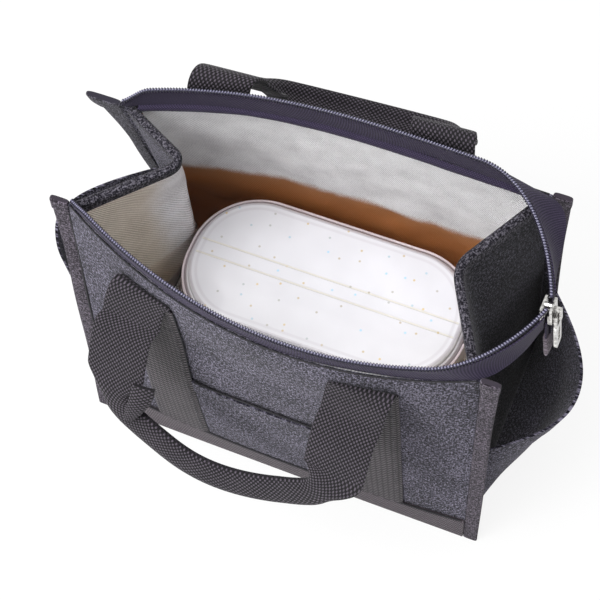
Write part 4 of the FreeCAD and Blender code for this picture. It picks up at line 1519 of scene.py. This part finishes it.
@dataclass(frozen=True)
class FrontPocket:
    """Patch pocket between the front straps, open at the top, with a folded hem."""

    half: float = 42.1
    top: float = 96.0
    thick: float = 0.9
    hem: float = 12.5
    hem_thick: float = 0.5

    def _inner(self, x: Array, z: Array) -> Array:
        """Inner face as an inset: slack that grows with the cube of the height.

        Args:
            x: Places along the wall.
            z: Heights.

        Returns:
            Insets from the wall's outer face.
        """
        share = np.clip((z - BAG.band_height) / (self.top - BAG.band_height), 0, 1)
        sideways = np.clip(np.cos(math.pi * x / (2 * self.half)), 0, 1) ** 0.5
        return -BAG.gap - sideways * share ** 3

    def _outer(self, x: Array, z: Array) -> Array:
        """Outer face as an inset, thicker along the hem."""
        hem = smooth(self.top - self.hem - 1, self.top - self.hem, z) * self.hem_thick
        return self._inner(x, z) - self.thick - hem

    def build(self) -> None:
        """Makes the patch, a little slack at its mouth, the hem's stitches and a dark cord of
        painted shade in its mouth.
        """
        patch = FRONT.patch((-self.half, self.half), (BAG.band_height + 0.3, self.top),
                            self._outer, self._inner, (90, 80))
        piece = publish("front_patch", patch, OUTER, ["front_pocket"])
        x = np.linspace(-self.half + 2, self.half - 2, 60)
        level = np.full_like(x, self.top - self.hem + 1)
        line = FRONT.face(x, level, self._outer(x, level))
        row = stitches(line, FRONT.outward(len(line)), pitch=2.6, length=2.0, radius=0.22)
        publish("front_patch_stitches", row, STITCH)
        # Dark cord of painted shade in the pocket's mouth.
        shade = FRONT.cord(x, np.full_like(x, self.top + 0.6), 1.3, 1.2, 1.0)
        publish("front_patch_shade", shade, SHADE_CORD)


@dataclass(frozen=True)
class SidePocket:
    """Bellied pocket on a short wall: straight at its foot, a full cubic curve at its rim."""

    end: End
    seed: int
    foot: float = 6.0
    rim: float = 105.0
    inset: float = 2.8
    out_poles: Pair = (55.0, 45.0)
    side_poles: Pair = (-12.0, 8.0)
    hem: float = 10.6
    hem_thick: float = 0.6
    wave_height: float = 1.4

    def face(self, t: Array, z: Array, stand: Any) -> Array:
        """Points of the pocket: straight and full curves mixed by height, with soft waves.

        Args:
            t: Shares from front to back.
            z: Heights.
            stand: Distance outwards from its inner face.

        Returns:
            Points, with the shape of t and z.
        """
        sign = self.end.value
        corner = np.full_like(z, sign * BAG.half_length)
        front = FRONT.face(corner, z)[..., 1] + self.inset
        back = BACK.face(corner, z)[..., 1] - self.inset
        share = (z - self.foot) / (self.rim - self.foot)
        belly = np.clip(share, 0, 1.1) + 0.1 * np.sin(math.pi * np.clip(share, 0, 1))
        first, second, third, fourth = bernstein(t)
        out = belly * (second * self.out_poles[0] + third * self.out_poles[1])
        full = (first * front + second * self.side_poles[0] + third * self.side_poles[1]
                + fourth * back)
        y = lerp(lerp(front, back, t), full, np.clip(belly, 0, 1))
        held = np.sin(math.pi * t) ** 0.7 * np.sin(math.pi * np.clip(share, 0.02, 1) * 0.8)
        wave = held * self.wave_height * ripples(t * 2.2, z / 60, self.seed)
        return np.stack([corner + sign * (0.2 + out + wave + stand), y, z], -1)

    def build(self) -> None:
        """Makes the pocket, thicker along its hemmed rim."""
        name = self.end.name.lower()
        t, z = np.meshgrid(np.linspace(0, 1, 90), np.linspace(self.foot, self.rim, 80),
                           indexing="ij")
        hem = smooth(self.rim - self.hem - 1, self.rim - self.hem, z)
        hem = self.hem_thick * hem * np.sin(math.pi * t) ** 0.3
        piece = publish(f"{name}_side_pocket",
                        slab(self.face(t, z, 1.0 + hem), self.face(t, z, 0.0)), OUTER,
                        [f"{name}_pocket"])


@dataclass(frozen=True)
class Handle:
    """Carrying loop of webbing: flat legs folded over their straps, narrowed to a folded grip.

    Attributes:
        wall: Wall that it is sewn to.
        body: CAD body that it moves with.
        middle: Middle of the line that it swings about.
        along: Direction of that line.
        dip: Angle below level at which it hangs, in degrees.
        shift: Shift of its straps along the wall.
        crest: How far its fold rises, runs on past the leg and stands out.
        splay: How far the left and right legs swing apart.
        skew: How far its right side is pulled up.
        twist: Turn of the grip, in degrees.
        bow: How far the legs bow off the loop's plane.
        sink: How far the grip sinks below it.
        tuck: Whether the left leg's edge is turned over.
    """

    wall: Wall
    body: str
    middle: Triple
    along: Triple
    dip: float
    shift: float
    crest: Triple
    splay: Pair
    skew: float = 0.0
    twist: float = 0.0
    bow: float = 0.0
    sink: float = 0.0
    tuck: bool = False
    leg: float = 45.0
    leg_start: float = 16.0
    taper: float = 12.0
    corner: float = 26.0
    turn: float = 60.0
    grip_size: Pair = (15.5, 5.6)
    squareness: Pair = (7.0, 2.6)
    turning: Pair = (34, 62)
    bow_length: float = 62.0
    groove_span: float = 7.5
    groove_width: float = 1.6
    groove_depth: float = 1.5
    fold_points: int = 26

    @cached_property
    def axes(self) -> tuple[Array, Array, Array]:
        """Directions along the swing line, from it down to the grip, and off the loop's plane.

        Returns:
            Three unit vectors.
        """
        along = np.array(self.along)
        side = self.wall.side.value
        outward = np.array([-side * along[1], side * along[0], 0.0])
        dip = math.radians(self.dip)
        depth = outward * math.cos(dip) - np.array([0, 0, math.sin(dip)])
        face = np.cross(along, depth) * side
        return along, depth, face if face[2] > 0 else -face

    def place(self, flat: Array, off: Array) -> Array:
        """Points given in the loop's plane and off it, in space."""
        along, depth, face = self.axes
        return (np.array(self.middle) + flat[..., :1] * along + flat[..., 1:] * depth
                + off[..., None] * face)

    def grip(self) -> Array:
        """Loop's middle line in its own plane: legs, then two small arcs and a wide one.

        Returns:
            Points, (n, 2), from the left leg to the right.
        """
        half = BAG.strap_spread / 2
        turn = math.radians(self.turn)
        start = self.leg + self.taper
        wide = self.corner + (half - self.corner) / math.cos(turn)
        drop = (wide - self.corner) * math.sin(turn)
        leg = np.linspace(self.leg_start, start, 40, endpoint=False)
        small = np.linspace(0, turn, 24, endpoint=False)
        large = np.linspace(turn, math.pi / 2, 30)
        right = np.concatenate([
            np.stack([np.full_like(leg, half), leg], -1),
            np.stack([half - self.corner + self.corner * np.cos(small),
                      start + self.corner * np.sin(small)], -1),
            np.stack([wide * np.cos(large), start - drop + wide * np.sin(large)], -1)])
        return np.concatenate([right * [-1, 1], right[-2::-1]])

    def _laid(self) -> Array:
        """Loop's middle line as it lies: legs splayed and the right side pulled up.

        Returns:
            Points, (n, 2).
        """
        flat = self.grip()
        x, drop = flat[:, 0], flat[:, 1]
        hang = smooth(2, 28, drop) * smooth(90, 68, drop)
        splay = np.where(x < 0, -self.splay[0], self.splay[1]) * hang * smooth(20, 50, np.abs(x))
        lift = self.skew * smooth(-35, 45, x) * smooth(38, 66, drop)
        return flat + np.stack([splay, -lift], -1)

    def build(self) -> None:
        """Carries a flat profile that rounds up at the grip along the loop, bent at its folds."""
        flat = self._laid()
        drop = flat[:, 1]
        bow = self.bow * np.sin(math.pi * np.clip((drop - self.leg_start) / self.bow_length, 0, 1))
        loop = self.place(flat, bow - self.sink * smooth(8, 40, drop))
        left, right = self._fold(loop[0], -1), self._fold(loop[-1], 1)
        path = np.concatenate([left, loop, right[::-1]])
        none = np.zeros(self.fold_points)
        drop = np.concatenate([none, drop, none])
        solid = sweep(path, *self._directions(flat, path, drop), self._profile(drop))
        piece = publish(f"{self.body}_webbing", solid, STRAP, [self.body], body=None)
        if self.tuck:
            self._tuck()
        end = (loop[4] + loop[-5]) / 2 * MM
        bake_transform(piece)

    def _directions(self, flat: Array, path: Array, drop: Array) -> tuple[Array, Array]:
        """Directions of the webbing: along the seam on its strap, along the swing line on the
        legs, square to the loop at the grip, where it is twisted too.

        Args:
            flat: Loop's middle line in its own plane.
            path: Middle line in space, with both folds.
            drop: Distance of each point of the path below the swing line.

        Returns:
            Width and depth directions.
        """
        along, depth, _ = self.axes
        slope = np.gradient(flat, axis=0)
        square = unit(slope[:, 1:] * along - slope[:, :1] * depth)
        lean = smooth(*self.turning, flat[:, 1])[:, None]
        wide = unit(lerp(-np.sign(flat[:, :1]) * along, square, lean))
        ramp = smooth(0.0, 0.8, np.linspace(0, 1, self.fold_points))[:, None]
        hint = unit(np.concatenate([lerp(self._seam(-1), wide[0], ramp), wide,
                                    lerp(-self._seam(1), wide[-1], ramp)[::-1]]))
        lean = smooth(*self.turning, drop)[:, None]
        broad = unit(lerp(hint, frames(path, hint)[0], lean))
        deep = unit(np.cross(np.gradient(path, axis=0), broad))
        turn = smooth(self.leg, self.leg + self.taper + 24, drop)[:, None]
        turn = math.radians(self.twist) * turn
        return (broad * np.cos(turn) + deep * np.sin(turn),
                deep * np.cos(turn) - broad * np.sin(turn))

    def _profile(self, drop: Array) -> Array:
        """Flat webbing that narrows to a rounded grip with a groove along its underside.

        Args:
            drop: Distance of each station below the swing line.

        Returns:
            One profile per station.
        """
        narrow = smooth(self.leg + 4, self.leg + self.taper + 9, drop)
        count = 40
        profile = rounded_profile(lerp(BAG.strap_width, self.grip_size[0], narrow),
                                  lerp(BAG.strap_thick, self.grip_size[1], narrow), count,
                                  lerp(*self.squareness, narrow))
        angle = np.linspace(0, CIRCLE, count, endpoint=False)
        across = np.cos(angle) * self.groove_span
        groove = np.exp(-(across / self.groove_width) ** 2) * (np.sin(angle) < 0)
        profile[..., 1] += self.groove_depth * (groove * narrow[:, None])
        return profile

    def _tuck(self) -> None:
        """Half of the left leg's width turned over: a raised sheet between two cubic curves."""
        t, across = np.meshgrid(np.linspace(0, 1, 24), np.linspace(0, 1, 16), indexing="ij")
        outer = bezier([(-55.5, 50.5), (-56.5, 58.0), (-57.5, 66.0), (-58.5, 75.0)], t)
        inner = bezier([(-44.0, 48.6), (-42.6, 56.0), (-46.5, 65.0), (-54.0, 75.0)], t)
        flat = lerp(outer, inner, across[..., None])
        crown = np.sin(math.pi * np.clip(0.15 + 0.75 * t, 0, 1))
        crown = 1.6 + 1.6 * np.sin(math.pi * across) ** 0.7 * crown
        half = BAG.strap_thick / 2
        faces = [self.place(flat, 2.6 + lift) for lift in (crown + half, crown - half)]
        publish(f"{self.body}_tuck", slab(*faces), STRAP, body=self.body)

    def _fold(self, leg: Array, hand: int) -> Array:
        """Webbing from a sewn strap over to a leg: a cubic curve that leaves the strap upwards.

        Args:
            leg: First point of the leg.
            hand: -1 for the left leg, 1 for the right.

        Returns:
            Points from the strap to just before the leg.
        """
        x = np.full(2, self.shift + hand * BAG.strap_spread / 2)
        below, foot = self.wall.face(x, BAG.strap_top + np.array([-4.0, 0.25]), -1.1)
        rise, past, stand = self.crest
        outward = np.array([0.0, stand * self.wall.side.value, 0.0])
        poles = [foot, foot + unit(foot - below) * rise, leg - self.axes[1] * past + outward, leg]
        return bezier(poles, np.linspace(0, 1, self.fold_points, endpoint=False))

    def _seam(self, hand: int) -> Array:
        """Direction of the wall along the top of a sewn strap.

        Args:
            hand: -1 for the left strap, 1 for the right.

        Returns:
            Unit vector towards the right.
        """
        x = self.shift + hand * BAG.strap_spread / 2 + np.array([-12.0, 12.0])
        ends = self.wall.face(x, np.full(2, BAG.strap_top))
        return unit(ends[1] - ends[0])


@dataclass(frozen=True)
class ZipHalf:
    """Half of the zip: a tape on a long wall's lip, free at the right, with a coil on its edge.

    Attributes:
        wall: Wall that it is sewn to.
        leaves: Place at which its upper edge leaves the wall.
        height: Height of the tape along the lip.
        foot_leaves: Place at which its lower edge leaves the wall.
        stop: Distance at which the tape ends before the slider's middle.
        coil_stop: Distance at which the coil ends before it.
        rise: How far the coil's middle stands above the tape.
        offset: How far the coil's middle stands inwards from the tape.
        helix: Half of the coil's width and height.
        wire: Thickness of its wire.
        cord: Width and thickness of the cord inside it.
    """

    wall: Wall
    leaves: float
    height: float
    foot_leaves: float = 106.0
    stop: float = 6.9
    coil_stop: float = 3.2
    rise: float = 1.2
    offset: float = 0.3
    helix: Pair = (0.95, 0.8)
    wire: float = 0.72
    cord: Pair = (1.5, 1.2)
    turn_points: int = 12
    tape_half: float = 0.4
    hem_range: Pair = (-99.8, 99.0)
    hem_low: float = 185.6
    hem_outer: ClassVar[Sequence[Pair]] = (
        (2.25, 188.7), (3.2, 188.45), (4.0, 188.0), (4.5, 187.4), (4.65, 186.9))
    hem_inner: ClassVar[Sequence[Pair]] = (
        (2.25, 187.2), (3.3, 187.18), (3.8, 187.12), (3.95, 186.98), (4.1, 186.75))

    def line(self, stop: float, leaves: float) -> Array:
        """Plan line: along the lip, then a cubic curve that leaves along it to the slider.

        Args:
            stop: Distance at which it ends before the slider's middle.
            leaves: Place at which it leaves the wall.

        Returns:
            Points, (n, 3), at the height of the lip.
        """
        side = self.wall.side.value
        x = np.linspace(-BAG.half_length + 2.0, leaves, 150)
        lip = self.wall.face(x, np.full_like(x, BAG.height), BAG.layers / 2)[:, :2]
        start, way = lip[-1], unit(lip[-1] - lip[-2])
        end = np.array([BAG.slider[0], BAG.slider[1] + side * stop])
        span = np.linalg.norm(end - start)
        arrive = unit(np.array([0.35, -float(side)]))
        poles = [start, start + way * span / 3, end - arrive * span / 3, end]
        plan = np.concatenate([lip, bezier(poles, np.linspace(0, 1, 70)[1:])])
        return np.concatenate([plan, np.full((len(plan), 1), BAG.height + BAG.gap)], 1)

    def top(self, stop: float) -> Array:
        """Upper edge of the tape: low along the lip, and at its full height at the slider.

        Args:
            stop: Distance at which it ends before the slider's middle.

        Returns:
            Points, (n, 3).
        """
        line = self.line(stop, self.leaves)
        free = smooth(110, 200, np.arange(len(line)))
        start = lerp(0.25, 1.0, smooth(-BAG.half_length, -BAG.half_length + 16.0, line[:, 0]))
        line[:, 2] += lerp(self.height, BAG.tape_height, free) * start
        return line

    def inward(self, line: Array) -> Array:
        """Level directions square to a line, towards the mouth."""
        return beside(unit(np.gradient(line, axis=0))) * -self.wall.side.value

    def build(self) -> None:
        """Makes the tape, its hem, the coil and the cord inside it."""
        name = self.wall.name
        low, high = self.line(self.stop, self.foot_leaves), self.top(self.stop)
        across = beside(unit(np.gradient(low, axis=0)))[:, None]
        rise = np.linspace(0, 1, 16)
        wave = 0.35 * ripples(np.linspace(0, 6, len(low))[:, None], rise[None] / 3, 51)
        cloth = lerp(low[:, None], high[:, None], rise[None, :, None]) + across * wave[..., None]
        half = across * self.tape_half
        tape = publish(f"{name}_tape", slab(cloth + half, cloth - half), TAPE,
                       [f"{name}_zip_tape"])
        hem = publish(f"{name}_tape_hem", self._hem(), TAPE)
        edge = self.top(self.coil_stop) + np.array([0, 0, self.rise])
        publish(f"{name}_coil", self._coil(edge), COIL, [f"{name}_zip_teeth"])
        inward = self.inward(edge)
        core = sweep(edge + inward * self.offset, *frames(edge, inward),
                     rounded_profile(*self.cord, 10, ROUND))
        publish(f"{name}_coil_cord", core, CORE)

    def _hem(self) -> Solid:
        """Inner edge of the tape: it turns over the lining's top and ends in a wavy line.

        Returns:
            The hem.
        """
        x = np.linspace(*self.hem_range, 140)
        low = self.hem_low + 0.6 * ripples(x / 40, 0.0, self.wall.seed + 9)
        faces = []
        for profile in (self.hem_outer, self.hem_inner):
            rows = [self.wall.face(x, np.full_like(x, z), inset) for inset, z in profile]
            rows.append(self.wall.face(x, low, profile[-1][0] + 0.15))
            faces.append(np.stack(rows, 1))
        return slab(*faces)

    def _coil(self, line: Array) -> Solid:
        """Nylon coil: a thin wire wound in a flat helix about the tape's edge.

        Args:
            line: Middle line of the coil.

        Returns:
            The wire; its second cloth coordinate counts turns.
        """
        run = running(line)
        turns = int(run[-1] / BAG.coil_pitch)
        at = np.linspace(0, run[-1], turns * self.turn_points)
        centre = resample(at, run, line)
        inward = self.inward(centre)
        phase = at / run[-1] * turns * 2 * math.pi
        wire = centre + inward * (self.offset + self.helix[0] * np.cos(phase))[:, None]
        wire[:, 2] += self.helix[1] * np.sin(phase)
        sides = 6
        profile = rounded_profile(self.wire, self.wire, sides, ROUND)
        coil = sweep(wire, *frames(wire, inward), profile)
        turn = np.broadcast_to((phase / CIRCLE)[:, None], (len(wire), sides))
        quads = np.stack([turn[:-1], turn[:-1], turn[1:], turn[1:]], -1)
        coil.corners[:quads.size, 1] = quads.ravel()
        return coil


@dataclass(frozen=True)
class ZipTail:
    """Closed end of the zip under the slider, and the folded tab sewn over it."""

    lean: Pair = (0.134, 0.175)
    tape_range: Pair = (5.2, 15.2)
    tab_range: Pair = (15.4, 28.4)
    tape_size: Pair = (10.8, 0.8)
    tab_size: Pair = (12.4, 3.0)
    coil_range: Pair = (5.9, 15.0)
    tooth_range: Pair = (-0.3, 1.7)
    wire: float = 0.9

    def axes(self) -> tuple[Array, Array, Array, Array]:
        """Slider's middle and directions: down along its lean, out of its face, and across both.

        Returns:
            Middle, and the across, down and face directions.
        """
        down = unit(np.array([self.lean[0], -self.lean[1], -1.0]))
        face = unit(np.array([1.0, 0, 0]) - down * down[0])
        across = np.cross(down, face)
        top = BAG.height + 2 * BAG.gap + BAG.tape_height
        z = top - BAG.gap - 5.0 * abs(down[2]) - 2.8 * face[2] - 4.3 * abs(across[2])
        return np.array([*BAG.slider, z]), across, down, face

    def build(self) -> None:
        """Makes the tail's tape, its closed coil and the tab."""
        middle, across, down, face = self.axes()
        drop = np.linspace(*self.tape_range, 24)
        wide, deep = np.tile(across, (24, 1)), np.tile(face, (24, 1))
        profile = rounded_profile(*self.tape_size, 32, 8.0)
        publish("zip_tail_tape", sweep(middle + drop[:, None] * down, wide, deep, profile), TAPE,
                ["zip_tail"])
        publish("zip_tail_coil", self._teeth(), COIL)
        drop = np.linspace(*self.tab_range, 30)
        share = (drop - drop[0]) / (drop[-1] - drop[0])
        wide, deep = np.tile(across, (30, 1)), np.tile(face, (30, 1))
        end = np.sqrt(np.clip(1 - smooth(0.8, 1.02, share) ** 2, 0.06, 1))
        width, thick = self.tab_size
        profile = rounded_profile(width - 0.8 * share, thick * end, 36, 4.0)
        publish("zip_tab", sweep(middle + drop[:, None] * down, wide, deep, profile), TAB,
                ["zip_end_tab"])

    def _teeth(self) -> Solid:
        """Closed coil: short bent wires that reach over the middle from either side in turn.

        Returns:
            All wires.
        """
        middle, across, down, face = self.axes()
        wide, deep = np.tile(down, (8, 1)), np.tile(face, (8, 1))
        profile = rounded_profile(self.wire, self.wire, 8, ROUND)
        teeth = []
        for row in np.arange(*self.coil_range, BAG.coil_pitch):
            for hand in (-1, 1):
                x = np.linspace(*self.tooth_range, 8) * hand
                start = middle + (row + 0.36 * hand) * down + self.wire * face
                tooth = start + x[:, None] * across + (0.4 * np.cos(x))[:, None] * face
                teeth.append(sweep(tooth, wide, deep, profile))
        return Solid.joined(teeth)


@dataclass(frozen=True)
class LidRim:
    """Bead round the lid's edge."""

    sizes: LidSizes = LID_SIZES
    out: float = 0.6
    below: float = 5.6
    thick: float = 1.5

    def build(self, top: float) -> None:
        """Carries a round profile along the lid's outline: four straight sides and four arcs.

        Args:
            top: Height of the lid's top.
        """
        angle = np.linspace(0, CIRCLE, 241)
        radius = self.sizes.corner + self.out
        x, y = (middle + np.sign(wave) * (half - self.sizes.corner) + radius * wave
                for middle, half, wave in zip(self.sizes.centre, self.sizes.half,
                                              (np.cos(angle), np.sin(angle))))
        ring = np.stack([x, y, np.full_like(x, top - self.below)], -1)
        keep = np.concatenate([[True], np.linalg.norm(np.diff(ring, axis=0), axis=1) > 1e-6])
        ring = ring[keep]
        upward = np.tile([0.0, 0.0, 1.0], (len(ring), 1))
        profile = rounded_profile(self.thick, self.thick, 12, ROUND)
        publish("lid_bead", sweep(ring, *frames(ring, upward), profile), RIM, body="lunch_lid")


# ---- studio

def pose(right: Any, up: Any, back: Any, place: Any) -> Matrix:
    """Matrix of an object's three directions and its place."""
    rows = np.stack([right, up, back, place], 1).tolist()
    return Matrix(rows + [[0.0, 0.0, 0.0, 1.0]])


@dataclass(frozen=True)
class Lamp:
    """Large soft lamp that shines at the object; place and size in metres, power in watts."""

    name: str
    place: Triple
    size: float
    power: float
    target: Triple = (0, 0, 0.1)

    def build(self) -> None:
        """Makes the lamp and turns it towards its target."""
        data = bpy.data.lights.new(self.name, "AREA")
        data.size, data.energy = self.size, self.power
        lamp = bpy.data.objects.new(self.name, data)
        aim = unit(np.array(self.target) - np.array(self.place))
        side = unit(np.cross([0.0, 1.0, 0.1], -aim))
        lamp.matrix_world = pose(side, np.cross(-aim, side), -aim, self.place)
        bpy.context.scene.collection.objects.link(lamp)


@dataclass(frozen=True)
class Studio:
    """Pale floor, soft lights and the camera."""

    place: Triple = (183.9, -303.0, 839.5)
    right: Triple = (0.9207, 0.3817, -0.0808)
    up: Triple = (-0.3145, 0.8485, 0.4255)
    back: Triple = (0.2310, -0.3664, 0.9013)
    lens: float = 93.24
    sky_light: float = 0.16
    floor_glow: float = 0.88
    floor_half: float = 4.0
    floor_level: float = -0.0004
    lamps: tuple[Lamp, ...] = (
        Lamp("key", (-0.85, -0.85, 1.5), 1.0, 27.0),
        Lamp("fill", (-0.4, -1.55, 1.0), 1.2, 10.0),
        Lamp("top", (-0.1, 0.0, 1.9), 1.4, 28.0),
    )

    def build(self) -> None:
        """Makes the floor, the surroundings, the lights and the camera."""
        self._floor()
        self._surroundings()
        for lamp in self.lamps:
            lamp.build()
        self._camera()

    def _floor(self) -> None:
        """White floor that keeps a faint contact shadow."""
        graph = Graph("studio_floor")
        graph.finish(Base_Color=tint(246, 246, 246), Roughness=0.9, Specular_IOR_Level=0.1)
        glow = graph.node("ShaderNodeEmission", {"Color": (1, 1, 1, 1), "Strength": 1.0})
        seen = graph.node("ShaderNodeLightPath", {}, out="Is Camera Ray")
        plain = Value(graph, graph.shader.outputs[0])
        both = graph.node("ShaderNodeMixShader", {0: seen * self.floor_glow, 1: plain, 2: glow})
        graph.feed(graph.output.inputs["Surface"], both)
        mesh = bpy.data.meshes.new("studio_floor")
        corners = ((-1, -1), (1, -1), (1, 1), (-1, 1))
        mesh.from_pydata([(x * self.floor_half, y * self.floor_half, self.floor_level)
                          for x, y in corners], [], [(0, 1, 2, 3)])
        mesh.materials.append(graph.material)
        floor = bpy.data.objects.new("studio_floor", mesh)
        bpy.context.scene.collection.objects.link(floor)

    def _surroundings(self) -> None:
        """White where the camera or a reflection sees it, softer as light."""
        world = bpy.data.worlds.new("studio")
        bpy.context.scene.world = world
        world.use_nodes = True
        tree = world.node_tree
        tree.nodes.clear()
        out = tree.nodes.new("ShaderNodeOutputWorld")
        path = tree.nodes.new("ShaderNodeLightPath")
        last = self._sky(tree, self.sky_light)
        for ray in ("Is Glossy Ray", "Is Camera Ray"):
            mix = tree.nodes.new("ShaderNodeMixShader")
            tree.links.new(path.outputs[ray], mix.inputs[0])
            tree.links.new(last, mix.inputs[1])
            tree.links.new(self._sky(tree, 1.0), mix.inputs[2])
            last = mix.outputs[0]
        tree.links.new(last, out.inputs["Surface"])
        bpy.context.scene.view_settings.view_transform = "Standard"

    @staticmethod
    def _sky(tree: bpy.types.NodeTree, strength: float) -> bpy.types.NodeSocket:
        """White background.

        Args:
            tree: Node tree of the world.
            strength: Strength of its light.

        Returns:
            The background's output.
        """
        sky = tree.nodes.new("ShaderNodeBackground")
        sky.inputs["Strength"].default_value = strength
        sky.inputs["Color"].default_value = (1, 1, 1, 1)
        return sky.outputs[0]

    def _camera(self) -> None:
        """Camera at the photograph's place and angle."""
        data = bpy.data.cameras.new("camera")
        data.lens, data.sensor_width = self.lens, 36.0
        data.clip_start, data.clip_end = 0.05, 20.0
        camera = bpy.data.objects.new("camera", data)
        camera.matrix_world = pose(self.right, self.up, self.back, np.array(self.place) * MM)
        bpy.context.scene.collection.objects.link(camera)
        bpy.context.scene.camera = camera


def finish_nodes(nodes: Mapping[str, bpy.types.Object]) -> None:
    """Gives each CAD node that stays in view its procedural finish.

    Args:
        nodes: CAD objects by node name.
    """
    for name, finish in CAD_FINISHES.items():
        mesh = nodes[name].data
        mesh.materials.clear()
        mesh.materials.append(finish.material())
        LOG.info("%s: finished as %s", name, finish.name)


def clear_scene() -> None:
    """Removes the objects that a new file starts with."""
    for item in list(bpy.data.objects):
        bpy.data.objects.remove(item)


PIECES = (
    WallPieces(FRONT, strap_shift=0.0, foil=FOIL_FRONT, flares=(1.5, 1.0), tab=0.0,
               left_binding=BINDING),
    WallPieces(BACK, strap_shift=-6.0, foil=FOIL_BACK, flares=(7.0, 1.0), tab=4.0,
               left_binding=FIN),
    Gusset(End.LEFT, reach=41.0, back=11.0, bow=1.6, upright=0.78, sway=10.7, cloth=OUTER,
           seed=31),
    Gusset(End.RIGHT, reach=28.5, back=4.0, bow=1.2, upright=0.0, sway=0.0, cloth=SHADED_CLOTH,
           seed=37),
    BaseSheet("base_cloth", "base_panel", half=(106.6, 61.4), low=0.0, high=1.2, finish=OUTER),
    BaseSheet("base_foil", "base_lining", half=(103.5, 57.5), low=4.15, high=6.25,
              finish=FOIL_END, rough=0.25),
    FrontPocket(),
    SidePocket(End.LEFT, seed=61),
    SidePocket(End.RIGHT, seed=67),
    Handle(FRONT, "front_handle", middle=(0.0, -62.589, 173.8), along=(0.996553, -0.082956, 0.0),
           dip=60.0, shift=0.0, crest=(10.0, 13.0, 0.0), splay=(8.5, -3.0), skew=9.0, bow=3.0,
           tuck=True),
    Handle(BACK, "back_handle", middle=(-6.0, 63.871, 195.0), along=(0.998514, 0.054504, 0.0),
           dip=58.0, shift=-6.0, crest=(36.0, 28.0, 9.0), splay=(-6.0, -8.0), twist=68.0,
           sink=4.6),
    ZipHalf(FRONT, leaves=86.0, height=7.0),
    ZipHalf(BACK, leaves=72.0, height=12.0),
    ZipTail(),
)


def main() -> None:
    """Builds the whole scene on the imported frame."""
    logging.basicConfig(level=logging.INFO, format="%(message)s")
    clear_scene()
    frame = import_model()
    Studio().build()
    finish_nodes(frame["nodes"])
    for piece in PIECES:
        piece.build()
    LidRim().build(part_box("lunch_lid")[1][2] / MM)


if __name__ == "__main__":
    main()
